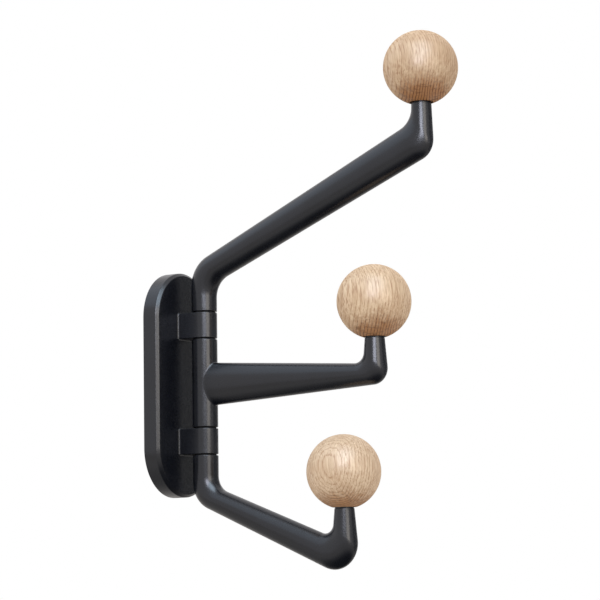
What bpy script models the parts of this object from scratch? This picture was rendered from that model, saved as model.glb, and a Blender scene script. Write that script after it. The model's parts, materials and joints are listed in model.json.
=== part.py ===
"""Wall coat rack with three arms that swivel on one upright axle.

The wall is the plane y = 0, the rack stands out of it along -Y, and +Z is up. The origin is
on the wall, behind the middle of the wall plate. The plate hooks over a steel bracket that is
screwed to the wall. Two lugs on the plate hold the axle, and three cast arms turn on it in
flanged bushes. Each arm ends in a round neck that carries an oak ball on a threaded stud.

Sizes are in metres and angles in degrees.
"""
import math
from typing import NamedTuple

import bmesh
import bpy
import numpy as np
from mathutils import Vector

# Wall plate
PLATE_WIDTH = 0.060
PLATE_END_REACH = 0.0264
PLATE_THICKNESS = 0.011
PLATE_CHAMFER = 0.0018
PLATE_FRONT_WALL = 0.0035
PLATE_RIM = 0.005
RECESS_TOP_MARGIN = 0.0195
RECESS_BOTTOM_MARGIN = 0.009
HOOK_LIP_THICKNESS = 0.0028
HOOK_POCKET_HEIGHT = 0.006

# Wall bracket, bent from steel strip
BRACKET_THICKNESS = 0.002
BRACKET_WIDTH = 0.030
BRACKET_BEND_RADIUS = 0.002
BRACKET_STEP_HEIGHT = 0.005
BRACKET_TAB_GAP = 0.006
WALL_HOLE_DIAMETER = 0.005
WALL_HOLE_SPACING = 0.050
WALL_SLOT_TRAVEL = 0.005

# Hinge stack: lugs, barrels, flanged bushes and axle
AXLE_STANDOFF = 0.0146
BARREL_DIAMETER = 0.016
MIDDLE_BARREL_LENGTH = 0.055
EDGE_ROUND = 0.0004
LUG_HEIGHT = 0.016
LUG_SEAT_RISE = 0.001
LUG_SEAT_FLARE = 0.001
FLANGE_THICKNESS = 0.0005
FLANGE_INSET = 0.0012
FLANGE_PLAY = 0.00015
BUSH_WALL = 0.001
BUSH_LENGTH = 0.008
AXLE_DIAMETER = 0.008
AXLE_BEYOND_SCREW = 0.0037
AXLE_CHAMFER = 0.0006
GROOVE_DEPTH = 0.0008
ARM_SCREW_HEIGHT = 0.013

# Screws
LUG_SCREW_DIAMETER = 0.003
LUG_SCREW_HEAD_DIAMETER = 0.0056
LUG_SCREW_HEAD_RIM = 0.0003
LUG_SCREW_LENGTH = 0.010
LUG_SCREW_SPACING = 0.008
LUG_HOLE_SPARE = 0.001
LOCK_SCREW_DIAMETER = 0.004
LOCK_SCREW_END_INSET = 0.0006
LOCK_SCREW_FROM_WALL = 0.005
ARM_SCREW_DIAMETER = 0.003
ARM_SCREW_INSET = 0.0004
SCREW_CHAMFER = 0.0003

# Top arm: it leaves the upper end of its barrel and climbs to its neck
TOP_REACH = 0.160
TOP_ROOT_RISE = 0.0238
TOP_SLOPE = 23.25
TOP_ROOT_HALF_DEPTH = 0.0086
TOP_ELBOW_HALF_DEPTH = 0.0118
TOP_ELBOW_HALF_WIDTH = 0.0076
TOP_OVER_BEND_RADIUS = 0.020
TOP_UNDER_BEND_RADIUS = 0.0144
TOP_OVER_ELBOW_RADIUS = 0.0138
TOP_UNDER_ELBOW_RADIUS = 0.012
TOP_NECK_FLARE = 2.0
TOP_BALL_RISE = 0.0424

# Middle arm: it branches from the side of its barrel
MIDDLE_REACH = 0.1244
MIDDLE_ROOT_DROP = 0.0007
MIDDLE_SLOPE = -0.53
MIDDLE_ROOT_HALF_DEPTH = 0.0138
MIDDLE_ROOT_SIDE_INSET = 0.0011
MIDDLE_ELBOW_HALF_DEPTH = 0.0063
MIDDLE_ELBOW_HALF_WIDTH = 0.0068
MIDDLE_OVER_ELBOW_RADIUS = 0.007
MIDDLE_UNDER_ELBOW_RADIUS = 0.0093
MIDDLE_NECK_FLARE = 4.7
MIDDLE_BALL_RISE = 0.0436

# Bottom arm: it leaves the lower end of its barrel and falls to its elbow
BOTTOM_REACH = 0.101
BOTTOM_ROOT_DROP = 0.0246
BOTTOM_SLOPE = -22.7
BOTTOM_ROOT_HALF_DEPTH = 0.0070
BOTTOM_ELBOW_HALF_DEPTH = 0.0095
BOTTOM_ELBOW_HALF_WIDTH = 0.0076
BOTTOM_OVER_BEND_RADIUS = 0.0116
BOTTOM_UNDER_BEND_RADIUS = 0.0173
BOTTOM_OVER_ELBOW_RADIUS = 0.0068
BOTTOM_UNDER_ELBOW_RADIUS = 0.015
BOTTOM_NECK_FLARE = 5.0
BOTTOM_BALL_RISE = 0.0527

# Balls, with the insert and stud that hold each one on its neck
NECK_DIAMETER = 0.0122
NECK_SPIGOT_DIAMETER = 0.0095
NECK_SHADOW_GAP = 0.0009
BALL_DIAMETER = 0.045
BALL_RECESS_MARGIN = 0.001
BALL_RECESS_DEPTH = 0.0025
INSERT_WALL = 0.0015
INSERT_LENGTH = 0.012
STUD_DIAMETER = 0.005
STUD_HALF_LENGTH = 0.0105
STUD_HOLE_SPARE = 0.001

# Clearances
SEAT_GAP = 0.0003
RUNNING_GAP = 0.0002
CUT_OVERRUN = 0.001
MERGE_DISTANCE = 0.000001

# Facet counts
BARREL_SEGMENTS = 32
ARM_SEGMENTS = 26
BALL_SEGMENTS = 32
BALL_ARC_STEPS = 14
SCREW_SEGMENTS = 16
SOCKET_SIDES = 6
ARC_STEPS = 8
END_ARC_STEPS = 24
CORNER_STEPS = 2
ARM_RUN_STEPS = 2
NECK_STEPS = 1

# Hexagon sockets, as shares of their screw's diameter
SOCKET_RADIUS_SHARE = 0.33
SOCKET_DEPTH_SHARE = 0.45

# Shading and edge-picking angles
SMOOTH_LIMIT = 32
RIM_LIMIT = 60

# Materials: colour, roughness, metallic
POWDER_COAT = ("charcoal_powder_coat", (0.014, 0.0145, 0.016), 0.45, 0.0)
OAK = ("oak", (0.56, 0.39, 0.25), 0.45, 0.0)
STEEL = ("zinc_plated_steel", (0.55, 0.55, 0.54), 0.35, 1.0)
BRASS = ("brass", (0.72, 0.53, 0.25), 0.35, 1.0)
POLYMER = ("black_polymer", (0.012, 0.012, 0.012), 0.6, 0.0)

# Sizes that follow from the driving ones
AXIS_Y = -(PLATE_THICKNESS + AXLE_STANDOFF)
BARREL_RADIUS = BARREL_DIAMETER / 2
AXLE_RADIUS = AXLE_DIAMETER / 2
AXLE_SEAT_RADIUS = AXLE_RADIUS + RUNNING_GAP
BUSH_BORE_RADIUS = AXLE_RADIUS + RUNNING_GAP
BUSH_RADIUS = BUSH_BORE_RADIUS + BUSH_WALL
BUSH_SEAT_RADIUS = BUSH_RADIUS + RUNNING_GAP
AXLE_HOLE_RADIUS = AXLE_RADIUS + SEAT_GAP
FLANGE_RADIUS = BARREL_RADIUS - FLANGE_INSET
STACK_GAP = FLANGE_THICKNESS + 2 * FLANGE_PLAY
MIDDLE_BARREL_END = MIDDLE_BARREL_LENGTH / 2
LUG_INNER_END = MIDDLE_BARREL_END + STACK_GAP
LUG_CENTRE = LUG_INNER_END + LUG_HEIGHT / 2
LUG_OUTER_END = LUG_INNER_END + LUG_HEIGHT
OUTER_BARREL_END = LUG_OUTER_END + STACK_GAP
ARM_SCREW_Z = OUTER_BARREL_END + ARM_SCREW_HEIGHT
AXLE_END = ARM_SCREW_Z + AXLE_BEYOND_SCREW
PLATE_HEIGHT = 2 * (LUG_OUTER_END + PLATE_END_REACH)
RECESS_DEPTH = PLATE_THICKNESS - PLATE_FRONT_WALL
RECESS_TOP = PLATE_HEIGHT / 2 - RECESS_TOP_MARGIN
RECESS_BOTTOM = RECESS_BOTTOM_MARGIN - PLATE_HEIGHT / 2
TONGUE_NEAR_Y = -(HOOK_LIP_THICKNESS + SEAT_GAP)
POCKET_DEPTH = BRACKET_THICKNESS + 2 * SEAT_GAP
BRACKET_TAB_Z = RECESS_BOTTOM + BRACKET_TAB_GAP
NECK_RADIUS = NECK_DIAMETER / 2
NECK_SPIGOT_RADIUS = NECK_SPIGOT_DIAMETER / 2
BALL_RADIUS = BALL_DIAMETER / 2
BALL_RECESS_RADIUS = NECK_RADIUS + BALL_RECESS_MARGIN
BALL_RIM_DROP = math.sqrt(BALL_RADIUS**2 - BALL_RECESS_RADIUS**2)
BALL_SEAT_DROP = BALL_RIM_DROP - BALL_RECESS_DEPTH
STUD_RADIUS = STUD_DIAMETER / 2
INSERT_BORE_RADIUS = STUD_RADIUS + RUNNING_GAP
INSERT_RADIUS = INSERT_BORE_RADIUS + INSERT_WALL


class ArmForm(NamedTuple):
    """Side view of an arm, in the plane through its axle: distance out, and height."""

    reach: float
    root_height: float
    slope: float
    root_half_depth: float
    elbow_half_depth: float
    root_half_width: float
    elbow_half_width: float
    over_radii: tuple
    under_radii: tuple
    neck_flare: float
    ball_height: float
    barrel_end: float


def arm_ball_height(root_height, slope, reach, rise):
    """Height of a ball's centre, its rise measured from the end of the arm's centre line."""
    return root_height + reach * math.tan(math.radians(slope)) + rise


def arm_forms():
    """The three arms. The middle one has no barrel end, because it branches from a barrel."""
    top_root = OUTER_BARREL_END + TOP_ROOT_RISE
    middle_root = -MIDDLE_ROOT_DROP
    bottom_root = -OUTER_BARREL_END - BOTTOM_ROOT_DROP
    top = ArmForm(
        reach=TOP_REACH,
        root_height=top_root,
        slope=TOP_SLOPE,
        root_half_depth=TOP_ROOT_HALF_DEPTH,
        elbow_half_depth=TOP_ELBOW_HALF_DEPTH,
        root_half_width=BARREL_RADIUS,
        elbow_half_width=TOP_ELBOW_HALF_WIDTH,
        over_radii=(TOP_OVER_BEND_RADIUS, TOP_OVER_ELBOW_RADIUS),
        under_radii=(TOP_UNDER_BEND_RADIUS, TOP_UNDER_ELBOW_RADIUS),
        neck_flare=TOP_NECK_FLARE,
        ball_height=arm_ball_height(top_root, TOP_SLOPE, TOP_REACH, TOP_BALL_RISE),
        barrel_end=OUTER_BARREL_END,
    )
    middle = ArmForm(
        reach=MIDDLE_REACH,
        root_height=middle_root,
        slope=MIDDLE_SLOPE,
        root_half_depth=MIDDLE_ROOT_HALF_DEPTH,
        elbow_half_depth=MIDDLE_ELBOW_HALF_DEPTH,
        root_half_width=BARREL_RADIUS - MIDDLE_ROOT_SIDE_INSET,
        elbow_half_width=MIDDLE_ELBOW_HALF_WIDTH,
        over_radii=(MIDDLE_OVER_ELBOW_RADIUS,),
        under_radii=(MIDDLE_UNDER_ELBOW_RADIUS,),
        neck_flare=MIDDLE_NECK_FLARE,
        ball_height=arm_ball_height(middle_root, MIDDLE_SLOPE, MIDDLE_REACH, MIDDLE_BALL_RISE),
        barrel_end=0.0,
    )
    bottom = ArmForm(
        reach=BOTTOM_REACH,
        root_height=bottom_root,
        slope=BOTTOM_SLOPE,
        root_half_depth=BOTTOM_ROOT_HALF_DEPTH,
        elbow_half_depth=BOTTOM_ELBOW_HALF_DEPTH,
        root_half_width=BARREL_RADIUS,
        elbow_half_width=BOTTOM_ELBOW_HALF_WIDTH,
        over_radii=(BOTTOM_OVER_BEND_RADIUS, BOTTOM_OVER_ELBOW_RADIUS),
        under_radii=(BOTTOM_UNDER_BEND_RADIUS, BOTTOM_UNDER_ELBOW_RADIUS),
        neck_flare=BOTTOM_NECK_FLARE,
        ball_height=arm_ball_height(bottom_root, BOTTOM_SLOPE, BOTTOM_REACH, BOTTOM_BALL_RISE),
        barrel_end=-OUTER_BARREL_END,
    )
    return {"top": top, "middle": middle, "bottom": bottom}


def neck_top(form):
    """Height of the end of an arm's spigot, just under the floor of the ball's recess."""
    return form.ball_height - BALL_SEAT_DROP - SEAT_GAP


def neck_shoulder(form):
    """Height of the full neck's end, a shadow gap below the rim of the ball's recess."""
    return form.ball_height - BALL_RIM_DROP - NECK_SHADOW_GAP


# Shape tools


def turned(profile, segments, closed=False):
    """Turn a profile of (radius, height) points, listed from the top down, about the Z axis."""
    shape = bmesh.new()
    verts = [shape.verts.new((radius, 0, height)) for radius, height in profile]
    edges = [shape.edges.new(pair) for pair in zip(verts, verts[1:])]
    if closed:
        edges.append(shape.edges.new((verts[-1], verts[0])))
    bmesh.ops.spin(
        shape,
        geom=verts + edges,
        cent=(0, 0, 0),
        axis=(0, 0, 1),
        angle=math.tau,
        steps=segments,
        use_merge=True,
        use_duplicate=False,
    )
    bmesh.ops.remove_doubles(shape, verts=shape.verts, dist=MERGE_DISTANCE)
    bmesh.ops.recalc_face_normals(shape, faces=shape.faces)
    return shape


def prism(outline, sweep):
    """Extrude a flat outline of 3-D points along the sweep vector."""
    shape = bmesh.new()
    face = shape.faces.new([shape.verts.new(point) for point in outline])
    grown = bmesh.ops.extrude_face_region(shape, geom=[face])["geom"]
    moved = [item for item in grown if isinstance(item, bmesh.types.BMVert)]
    bmesh.ops.translate(shape, verts=moved, vec=sweep)
    bmesh.ops.remove_doubles(shape, verts=shape.verts, dist=MERGE_DISTANCE)
    bmesh.ops.recalc_face_normals(shape, faces=shape.faces)
    return shape


def loft(rings):
    """Skin a list of rings that have the same number of points, and close both ends."""
    shape = bmesh.new()
    loops = [[shape.verts.new(point) for point in ring] for ring in rings]
    for near, far in zip(loops, loops[1:]):
        for index in range(len(near)):
            shape.faces.new((near[index - 1], near[index], far[index], far[index - 1]))
    shape.faces.new(loops[0])
    shape.faces.new(loops[-1])
    bmesh.ops.recalc_face_normals(shape, faces=shape.faces)
    return shape


def edges_beyond(shape, direction, distance):
    """Edges that lie in the shape's flat end at a distance along a direction."""
    limit = distance - MERGE_DISTANCE
    return [edge for edge in shape.edges if all(vert.co.dot(direction) > limit for vert in edge.verts)]


def bevel_edges(shape, edges, size, segments):
    """Bevel some of a shape's edges. One segment makes a chamfer, and more make a round."""
    bmesh.ops.bevel(shape, geom=edges, offset=size, segments=segments, profile=0.5, affect="EDGES")


def crossing(point_a, direction_a, point_b, direction_b):
    """Point where two straight lines in one plane cross."""
    steps = np.linalg.solve(np.column_stack((direction_a, -direction_b)), point_b - point_a)
    return point_a + direction_a * steps[0]


def unit(vector):
    """The vector's direction, with length one."""
    return vector / np.linalg.norm(vector)


def rotated(vector, angle):
    """A flat vector, turned anticlockwise."""
    cosine = math.cos(angle)
    sine = math.sin(angle)
    return np.array((vector[0] * cosine - vector[1] * sine, vector[0] * sine + vector[1] * cosine))


def rounded_path(corners, radii, spans):
    """Points along straight runs whose inner corners are rounded by arcs.

    Each straight run takes its own number of equal spans and each arc takes ARC_STEPS, so two
    paths with the same spans match point for point.
    """
    points = []
    start = corners[0]
    for corner, before, after, radius, count in zip(corners[1:], corners, corners[2:], radii, spans):
        back = unit(before - corner)
        ahead = unit(after - corner)
        half_angle = math.acos(float(back @ ahead)) / 2
        centre = corner + unit(back + ahead) * radius / math.sin(half_angle)
        arc_start = corner + back * radius / math.tan(half_angle)
        arc_end = corner + ahead * radius / math.tan(half_angle)
        points += [start + (arc_start - start) * step / count for step in range(count)]
        spoke = arc_start - centre
        sweep = math.copysign(math.pi - 2 * half_angle, back[0] * spoke[1] - back[1] * spoke[0])
        points += [centre + rotated(spoke, sweep * step / ARC_STEPS) for step in range(ARC_STEPS)]
        start = arc_end
    points += [start + (corners[-1] - start) * step / spans[-1] for step in range(spans[-1] + 1)]
    return points


def rounded_rectangle(half_width, half_height, radius):
    """Outline of a rectangle with round corners, as (x, z) points."""
    points = []
    for corner, (side, end) in enumerate(((1, 1), (-1, 1), (-1, -1), (1, -1))):
        for step in range(CORNER_STEPS + 1):
            turn = math.pi / 2 * (corner + step / CORNER_STEPS)
            x = side * (half_width - radius) + radius * math.cos(turn)
            points.append((x, end * (half_height - radius) + radius * math.sin(turn)))
    return points


def stadium(radius, half_run, low, high):
    """Upright stadium outline of (x, z) points, cut level at the heights low and high."""
    steps = END_ARC_STEPS // 2
    top_angle = math.asin(min((high - half_run) / radius, 1))
    bottom_angle = -math.asin(min((-low - half_run) / radius, 1))
    top = [top_angle * step / steps for step in range(steps + 1)]
    bottom = [bottom_angle * (steps - step) / steps for step in range(steps + 1)]
    right = [(radius * math.cos(turn), radius * math.sin(turn) - half_run) for turn in bottom]
    right += [(radius * math.cos(turn), radius * math.sin(turn) + half_run) for turn in top]
    return right + [(-x, z) for x, z in reversed(right)]


def strip_outline(path, thickness):
    """Closed outline of a strip of even thickness that follows a path in one plane."""
    points = np.array(path)
    ahead = np.gradient(points, axis=0)
    normals = np.column_stack((-ahead[:, 1], ahead[:, 0]))
    normals /= np.linalg.norm(normals, axis=1)[:, None]
    offset = normals * thickness / 2
    return list(points + offset) + list((points - offset)[::-1])


# Scene tools


def clear_scene():
    """Remove whatever the scene holds."""
    for item in list(bpy.data.objects):
        bpy.data.objects.remove(item, do_unlink=True)


def make_material(name, colour, roughness, metallic):
    """Principled material of one colour."""
    material = bpy.data.materials.new(name)
    material.use_nodes = True
    shader = material.node_tree.nodes["Principled BSDF"]
    shader.inputs["Base Color"].default_value = (*colour, 1)
    shader.inputs["Roughness"].default_value = roughness
    shader.inputs["Metallic"].default_value = metallic
    return material


def add_object(name, shape, material=None, location=(0, 0, 0), rotation=(0, 0, 0), parent=None):
    """Put a shape into the scene as one smooth-shaded object."""
    mesh = bpy.data.meshes.new(name)
    shape.to_mesh(mesh)
    shape.free()
    mesh.shade_smooth()
    if material:
        mesh.materials.append(material)
    item = bpy.data.objects.new(name, mesh)
    bpy.context.collection.objects.link(item)
    item.location = location
    item.rotation_euler = rotation
    item.parent = parent
    return item


def boolean(body, label, shape, operation="DIFFERENCE", location=(0, 0, 0), rotation=(0, 0, 0)):
    """Cut a hidden shape out of a body, or join it on, with a Boolean modifier."""
    tool = add_object(f"{label}_{body.name}", shape, location=location, rotation=rotation, parent=body)
    tool.hide_render = True
    tool.display_type = "WIRE"
    modifier = body.modifiers.new(label, "BOOLEAN")
    modifier.operation = operation
    modifier.object = tool


def apply_booleans():
    """Give every body its cut mesh with its sharp edges marked, and remove the cutting shapes."""
    graph = bpy.context.evaluated_depsgraph_get()
    bodies = [item for item in bpy.data.objects if not item.hide_render]
    meshes = [bpy.data.meshes.new_from_object(body.evaluated_get(graph)) for body in bodies]
    for body, mesh in zip(bodies, meshes):
        body.modifiers.clear()
        body.data = mesh
        mesh.set_sharp_from_angle(angle=math.radians(SMOOTH_LIMIT))
    for item in list(bpy.data.objects):
        if item.hide_render:
            bpy.data.objects.remove(item, do_unlink=True)


def rod_profile(radius, top, bottom, chamfer):
    """Profile of a round rod with both ends chamfered."""
    return [
        (0, top),
        (radius - chamfer, top),
        (radius, top - chamfer),
        (radius, bottom + chamfer),
        (radius - chamfer, bottom),
        (0, bottom),
    ]


def hole_profile(radius, top, bottom):
    """Profile of a plain round hole."""
    return [(0, top), (radius, top), (radius, bottom), (0, bottom)]


FACING_WALL = (-math.pi / 2, 0, 0)
FACING_DOWN = (math.pi, 0, 0)


def add_screw(name, profile, diameter, material, location, rotation):
    """Screw with a hexagon socket. Its profile runs down from its driven end at height zero."""
    screw = add_object(name, turned(profile, SCREW_SEGMENTS), material, location, rotation)
    socket = hole_profile(SOCKET_RADIUS_SHARE * diameter, CUT_OVERRUN, -SOCKET_DEPTH_SHARE * diameter)
    boolean(screw, "socket", turned(socket, SOCKET_SIDES))
    return screw


# Wall plate and bracket


def lug_screw_profile():
    """Countersunk screw, from the flat of its head down."""
    head = LUG_SCREW_HEAD_DIAMETER / 2
    shank = LUG_SCREW_DIAMETER / 2
    neck = -(LUG_SCREW_HEAD_RIM + head - shank)
    return [
        (0, 0),
        (head, 0),
        (head, -LUG_SCREW_HEAD_RIM),
        (shank, neck),
        (shank, SCREW_CHAMFER - LUG_SCREW_LENGTH),
        (shank - SCREW_CHAMFER, -LUG_SCREW_LENGTH),
        (0, -LUG_SCREW_LENGTH),
    ]


def countersink_profile():
    """Hole for a lug screw, right through the plate's front wall and the lug's seat."""
    head = LUG_SCREW_HEAD_DIAMETER / 2 + SEAT_GAP
    shank = LUG_SCREW_DIAMETER / 2 + RUNNING_GAP
    neck = -(LUG_SCREW_HEAD_RIM + head - shank)
    bottom = -(PLATE_FRONT_WALL + LUG_SEAT_RISE + CUT_OVERRUN)
    return [
        (0, CUT_OVERRUN),
        (head, CUT_OVERRUN),
        (head, -LUG_SCREW_HEAD_RIM),
        (shank, neck),
        (shank, bottom),
        (0, bottom),
    ]


def lug_screw_places():
    """Names and heights of the screws that hold the lugs on."""
    places = {}
    for lug, centre in (("upper_lug", LUG_CENTRE), ("lower_lug", -LUG_CENTRE)):
        places[f"{lug}_screw_top"] = centre + LUG_SCREW_SPACING / 2
        places[f"{lug}_screw_bottom"] = centre - LUG_SCREW_SPACING / 2
    return places


def lug_seat():
    """Raised seat for a lug, about its middle, which flares out where it meets the plate."""
    sections = [
        (CUT_OVERRUN - PLATE_THICKNESS, LUG_SEAT_FLARE),
        (-PLATE_THICKNESS, LUG_SEAT_FLARE),
        (-PLATE_THICKNESS - LUG_SEAT_RISE, 0),
    ]
    rings = []
    for y, spread in sections:
        half_width = BARREL_RADIUS + spread
        half_height = LUG_HEIGHT / 2 + spread
        outline = rounded_rectangle(half_width, half_height, EDGE_ROUND + spread)
        rings.append([(x, y, z) for x, z in outline])
    return loft(rings)


def build_plate(material):
    """Cast plate: chamfered front, raised seats for the lugs, hollow back, and its holes."""
    radius = PLATE_WIDTH / 2
    half_run = PLATE_HEIGHT / 2 - radius
    outline = stadium(radius, half_run, -PLATE_HEIGHT / 2, PLATE_HEIGHT / 2)
    shape = prism([(x, 0, z) for x, z in outline], (0, -PLATE_THICKNESS, 0))
    bevel_edges(shape, edges_beyond(shape, Vector((0, -1, 0)), PLATE_THICKNESS), PLATE_CHAMFER, 1)
    plate = add_object("back_plate", shape, material)
    for label, centre in (("upper_seat", LUG_CENTRE), ("lower_seat", -LUG_CENTRE)):
        boolean(plate, label, lug_seat(), operation="UNION", location=(0, 0, centre))

    outline = stadium(radius - PLATE_RIM, half_run, RECESS_BOTTOM, RECESS_TOP)
    recess = prism([(x, CUT_OVERRUN, z) for x, z in outline], (0, -RECESS_DEPTH - CUT_OVERRUN, 0))
    boolean(plate, "recess", recess)

    half_pocket = BRACKET_WIDTH / 2 + SEAT_GAP
    pocket_near = -HOOK_LIP_THICKNESS
    pocket = [
        (-half_pocket, pocket_near, RECESS_TOP - CUT_OVERRUN),
        (half_pocket, pocket_near, RECESS_TOP - CUT_OVERRUN),
        (half_pocket, pocket_near, RECESS_TOP + HOOK_POCKET_HEIGHT),
        (-half_pocket, pocket_near, RECESS_TOP + HOOK_POCKET_HEIGHT),
    ]
    boolean(plate, "pocket", prism(pocket, (0, -POCKET_DEPTH, 0)))

    lock_radius = LOCK_SCREW_DIAMETER / 2 + RUNNING_GAP
    lock_hole = hole_profile(lock_radius, RECESS_BOTTOM_MARGIN + CUT_OVERRUN, -CUT_OVERRUN)
    boolean(
        plate,
        "lock_hole",
        turned(lock_hole, SCREW_SEGMENTS),
        location=(0, -LOCK_SCREW_FROM_WALL, -PLATE_HEIGHT / 2),
    )
    for name, height in lug_screw_places().items():
        boolean(
            plate,
            f"{name}_hole",
            turned(countersink_profile(), SCREW_SEGMENTS),
            location=(0, -RECESS_DEPTH, height),
            rotation=FACING_WALL,
        )


def bracket_path():
    """Side view of the bent strip, along the middle of its thickness: (y, z) points."""
    flat_y = -BRACKET_THICKNESS / 2
    tongue_y = TONGUE_NEAR_Y - BRACKET_THICKNESS / 2
    tongue_z = RECESS_TOP + HOOK_POCKET_HEIGHT - SEAT_GAP
    tab_y = SEAT_GAP - RECESS_DEPTH
    step_top = RECESS_TOP - SEAT_GAP - BRACKET_THICKNESS
    corners = [
        (tab_y, BRACKET_TAB_Z + BRACKET_THICKNESS / 2),
        (flat_y, BRACKET_TAB_Z + BRACKET_THICKNESS / 2),
        (flat_y, step_top - BRACKET_STEP_HEIGHT),
        (tongue_y, step_top),
        (tongue_y, tongue_z),
    ]
    bends = [BRACKET_BEND_RADIUS] * (len(corners) - 2)
    spans = [1] * (len(corners) - 1)
    return rounded_path([np.array(corner) for corner in corners], bends, spans)


def build_bracket(material):
    """Steel strip with a tongue that the plate hooks over and a tab that its screw presses on."""
    half_width = BRACKET_WIDTH / 2
    outline = [(-half_width, y, z) for y, z in strip_outline(bracket_path(), BRACKET_THICKNESS)]
    bracket = add_object("wall_bracket", prism(outline, (BRACKET_WIDTH, 0, 0)), material)

    hole_radius = WALL_HOLE_DIAMETER / 2
    hole = hole_profile(hole_radius, CUT_OVERRUN, -BRACKET_THICKNESS - CUT_OVERRUN)
    boolean(
        bracket,
        "wall_hole",
        turned(hole, SCREW_SEGMENTS),
        location=(0, 0, WALL_HOLE_SPACING / 2),
        rotation=FACING_WALL,
    )
    slot_reach = WALL_SLOT_TRAVEL / 2 + hole_radius
    slot = stadium(hole_radius, WALL_SLOT_TRAVEL / 2, -slot_reach, slot_reach)
    boolean(
        bracket,
        "wall_slot",
        prism([(z, CUT_OVERRUN, x) for x, z in slot], (0, -BRACKET_THICKNESS - 2 * CUT_OVERRUN, 0)),
        location=(0, 0, -WALL_HOLE_SPACING / 2),
    )


def build_plate_screws(material):
    """Four screws that hold the lugs, and the screw that locks the plate on its bracket."""
    for name, height in lug_screw_places().items():
        location = (0, -RECESS_DEPTH, height)
        add_screw(name, lug_screw_profile(), LUG_SCREW_DIAMETER, material, location, FACING_WALL)
    bottom = LOCK_SCREW_END_INSET - PLATE_HEIGHT / 2
    length = BRACKET_TAB_Z - SEAT_GAP - bottom
    profile = rod_profile(LOCK_SCREW_DIAMETER / 2, 0, -length, SCREW_CHAMFER)
    location = (0, -LOCK_SCREW_FROM_WALL, bottom)
    add_screw("plate_lock_screw", profile, LOCK_SCREW_DIAMETER, material, location, FACING_DOWN)


# Lugs, axle and bushes


def build_lug(name, centre, material):
    """D-shaped lug: a round nose about the axle, and flat sides back to its seat."""
    rear = AXLE_STANDOFF - LUG_SEAT_RISE - SEAT_GAP
    nose_steps = BARREL_SEGMENTS // 2
    turns = [-math.pi * step / nose_steps for step in range(nose_steps + 1)]
    outline = [(BARREL_RADIUS * math.cos(turn), BARREL_RADIUS * math.sin(turn)) for turn in turns]
    outline += [(-BARREL_RADIUS, rear), (BARREL_RADIUS, rear)]
    shape = prism([(x, y, -LUG_HEIGHT / 2) for x, y in outline], (0, 0, LUG_HEIGHT))
    rims = [edge for edge in shape.edges if edge.calc_face_angle() > math.radians(RIM_LIMIT)]
    bevel_edges(shape, rims, EDGE_ROUND, 1)
    lug = add_object(name, shape, material, location=(0, AXIS_Y, centre))

    bore = hole_profile(AXLE_SEAT_RADIUS, LUG_HEIGHT / 2 + CUT_OVERRUN, -LUG_HEIGHT / 2 - CUT_OVERRUN)
    boolean(lug, "bore", turned(bore, BARREL_SEGMENTS))
    plate_wall = PLATE_FRONT_WALL + LUG_SEAT_RISE
    depth = LUG_SCREW_LENGTH - plate_wall - SEAT_GAP + LUG_HOLE_SPARE
    hole = hole_profile(LUG_SCREW_DIAMETER / 2 + RUNNING_GAP, CUT_OVERRUN, -depth)
    for label, side in (("screw_hole_top", 1), ("screw_hole_bottom", -1)):
        boolean(
            lug,
            label,
            turned(hole, SCREW_SEGMENTS),
            location=(0, rear, side * LUG_SCREW_SPACING / 2),
            rotation=FACING_WALL,
        )


def build_axle(material):
    """Round steel axle with a groove near each end for the outer arms' screws."""
    groove_half = ARM_SCREW_DIAMETER / 2 + SEAT_GAP
    groove_radius = AXLE_RADIUS - GROOVE_DEPTH
    upper = [
        (0, AXLE_END),
        (AXLE_RADIUS - AXLE_CHAMFER, AXLE_END),
        (AXLE_RADIUS, AXLE_END - AXLE_CHAMFER),
        (AXLE_RADIUS, ARM_SCREW_Z + groove_half),
        (groove_radius, ARM_SCREW_Z + groove_half),
        (groove_radius, ARM_SCREW_Z - groove_half),
        (AXLE_RADIUS, ARM_SCREW_Z - groove_half),
    ]
    lower = [(radius, -height) for radius, height in reversed(upper)]
    add_object("axle", turned(upper + lower, BARREL_SEGMENTS), material, location=(0, AXIS_Y, 0))


def build_bush(name, barrel_end, direction, material):
    """Flanged bush in the end of a barrel. Its sleeve runs into the barrel along direction."""
    flange_near = barrel_end - direction * (FLANGE_PLAY + FLANGE_THICKNESS)
    flange_far = barrel_end - direction * FLANGE_PLAY
    sleeve_end = flange_far + direction * BUSH_LENGTH
    profile = [
        (BUSH_BORE_RADIUS, sleeve_end),
        (BUSH_RADIUS, sleeve_end),
        (BUSH_RADIUS, flange_far),
        (FLANGE_RADIUS, flange_far),
        (FLANGE_RADIUS, flange_near),
        (BUSH_BORE_RADIUS, flange_near),
    ]
    add_object(name, turned(profile, BARREL_SEGMENTS, closed=True), material, location=(0, AXIS_Y, 0))


# Arms


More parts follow.
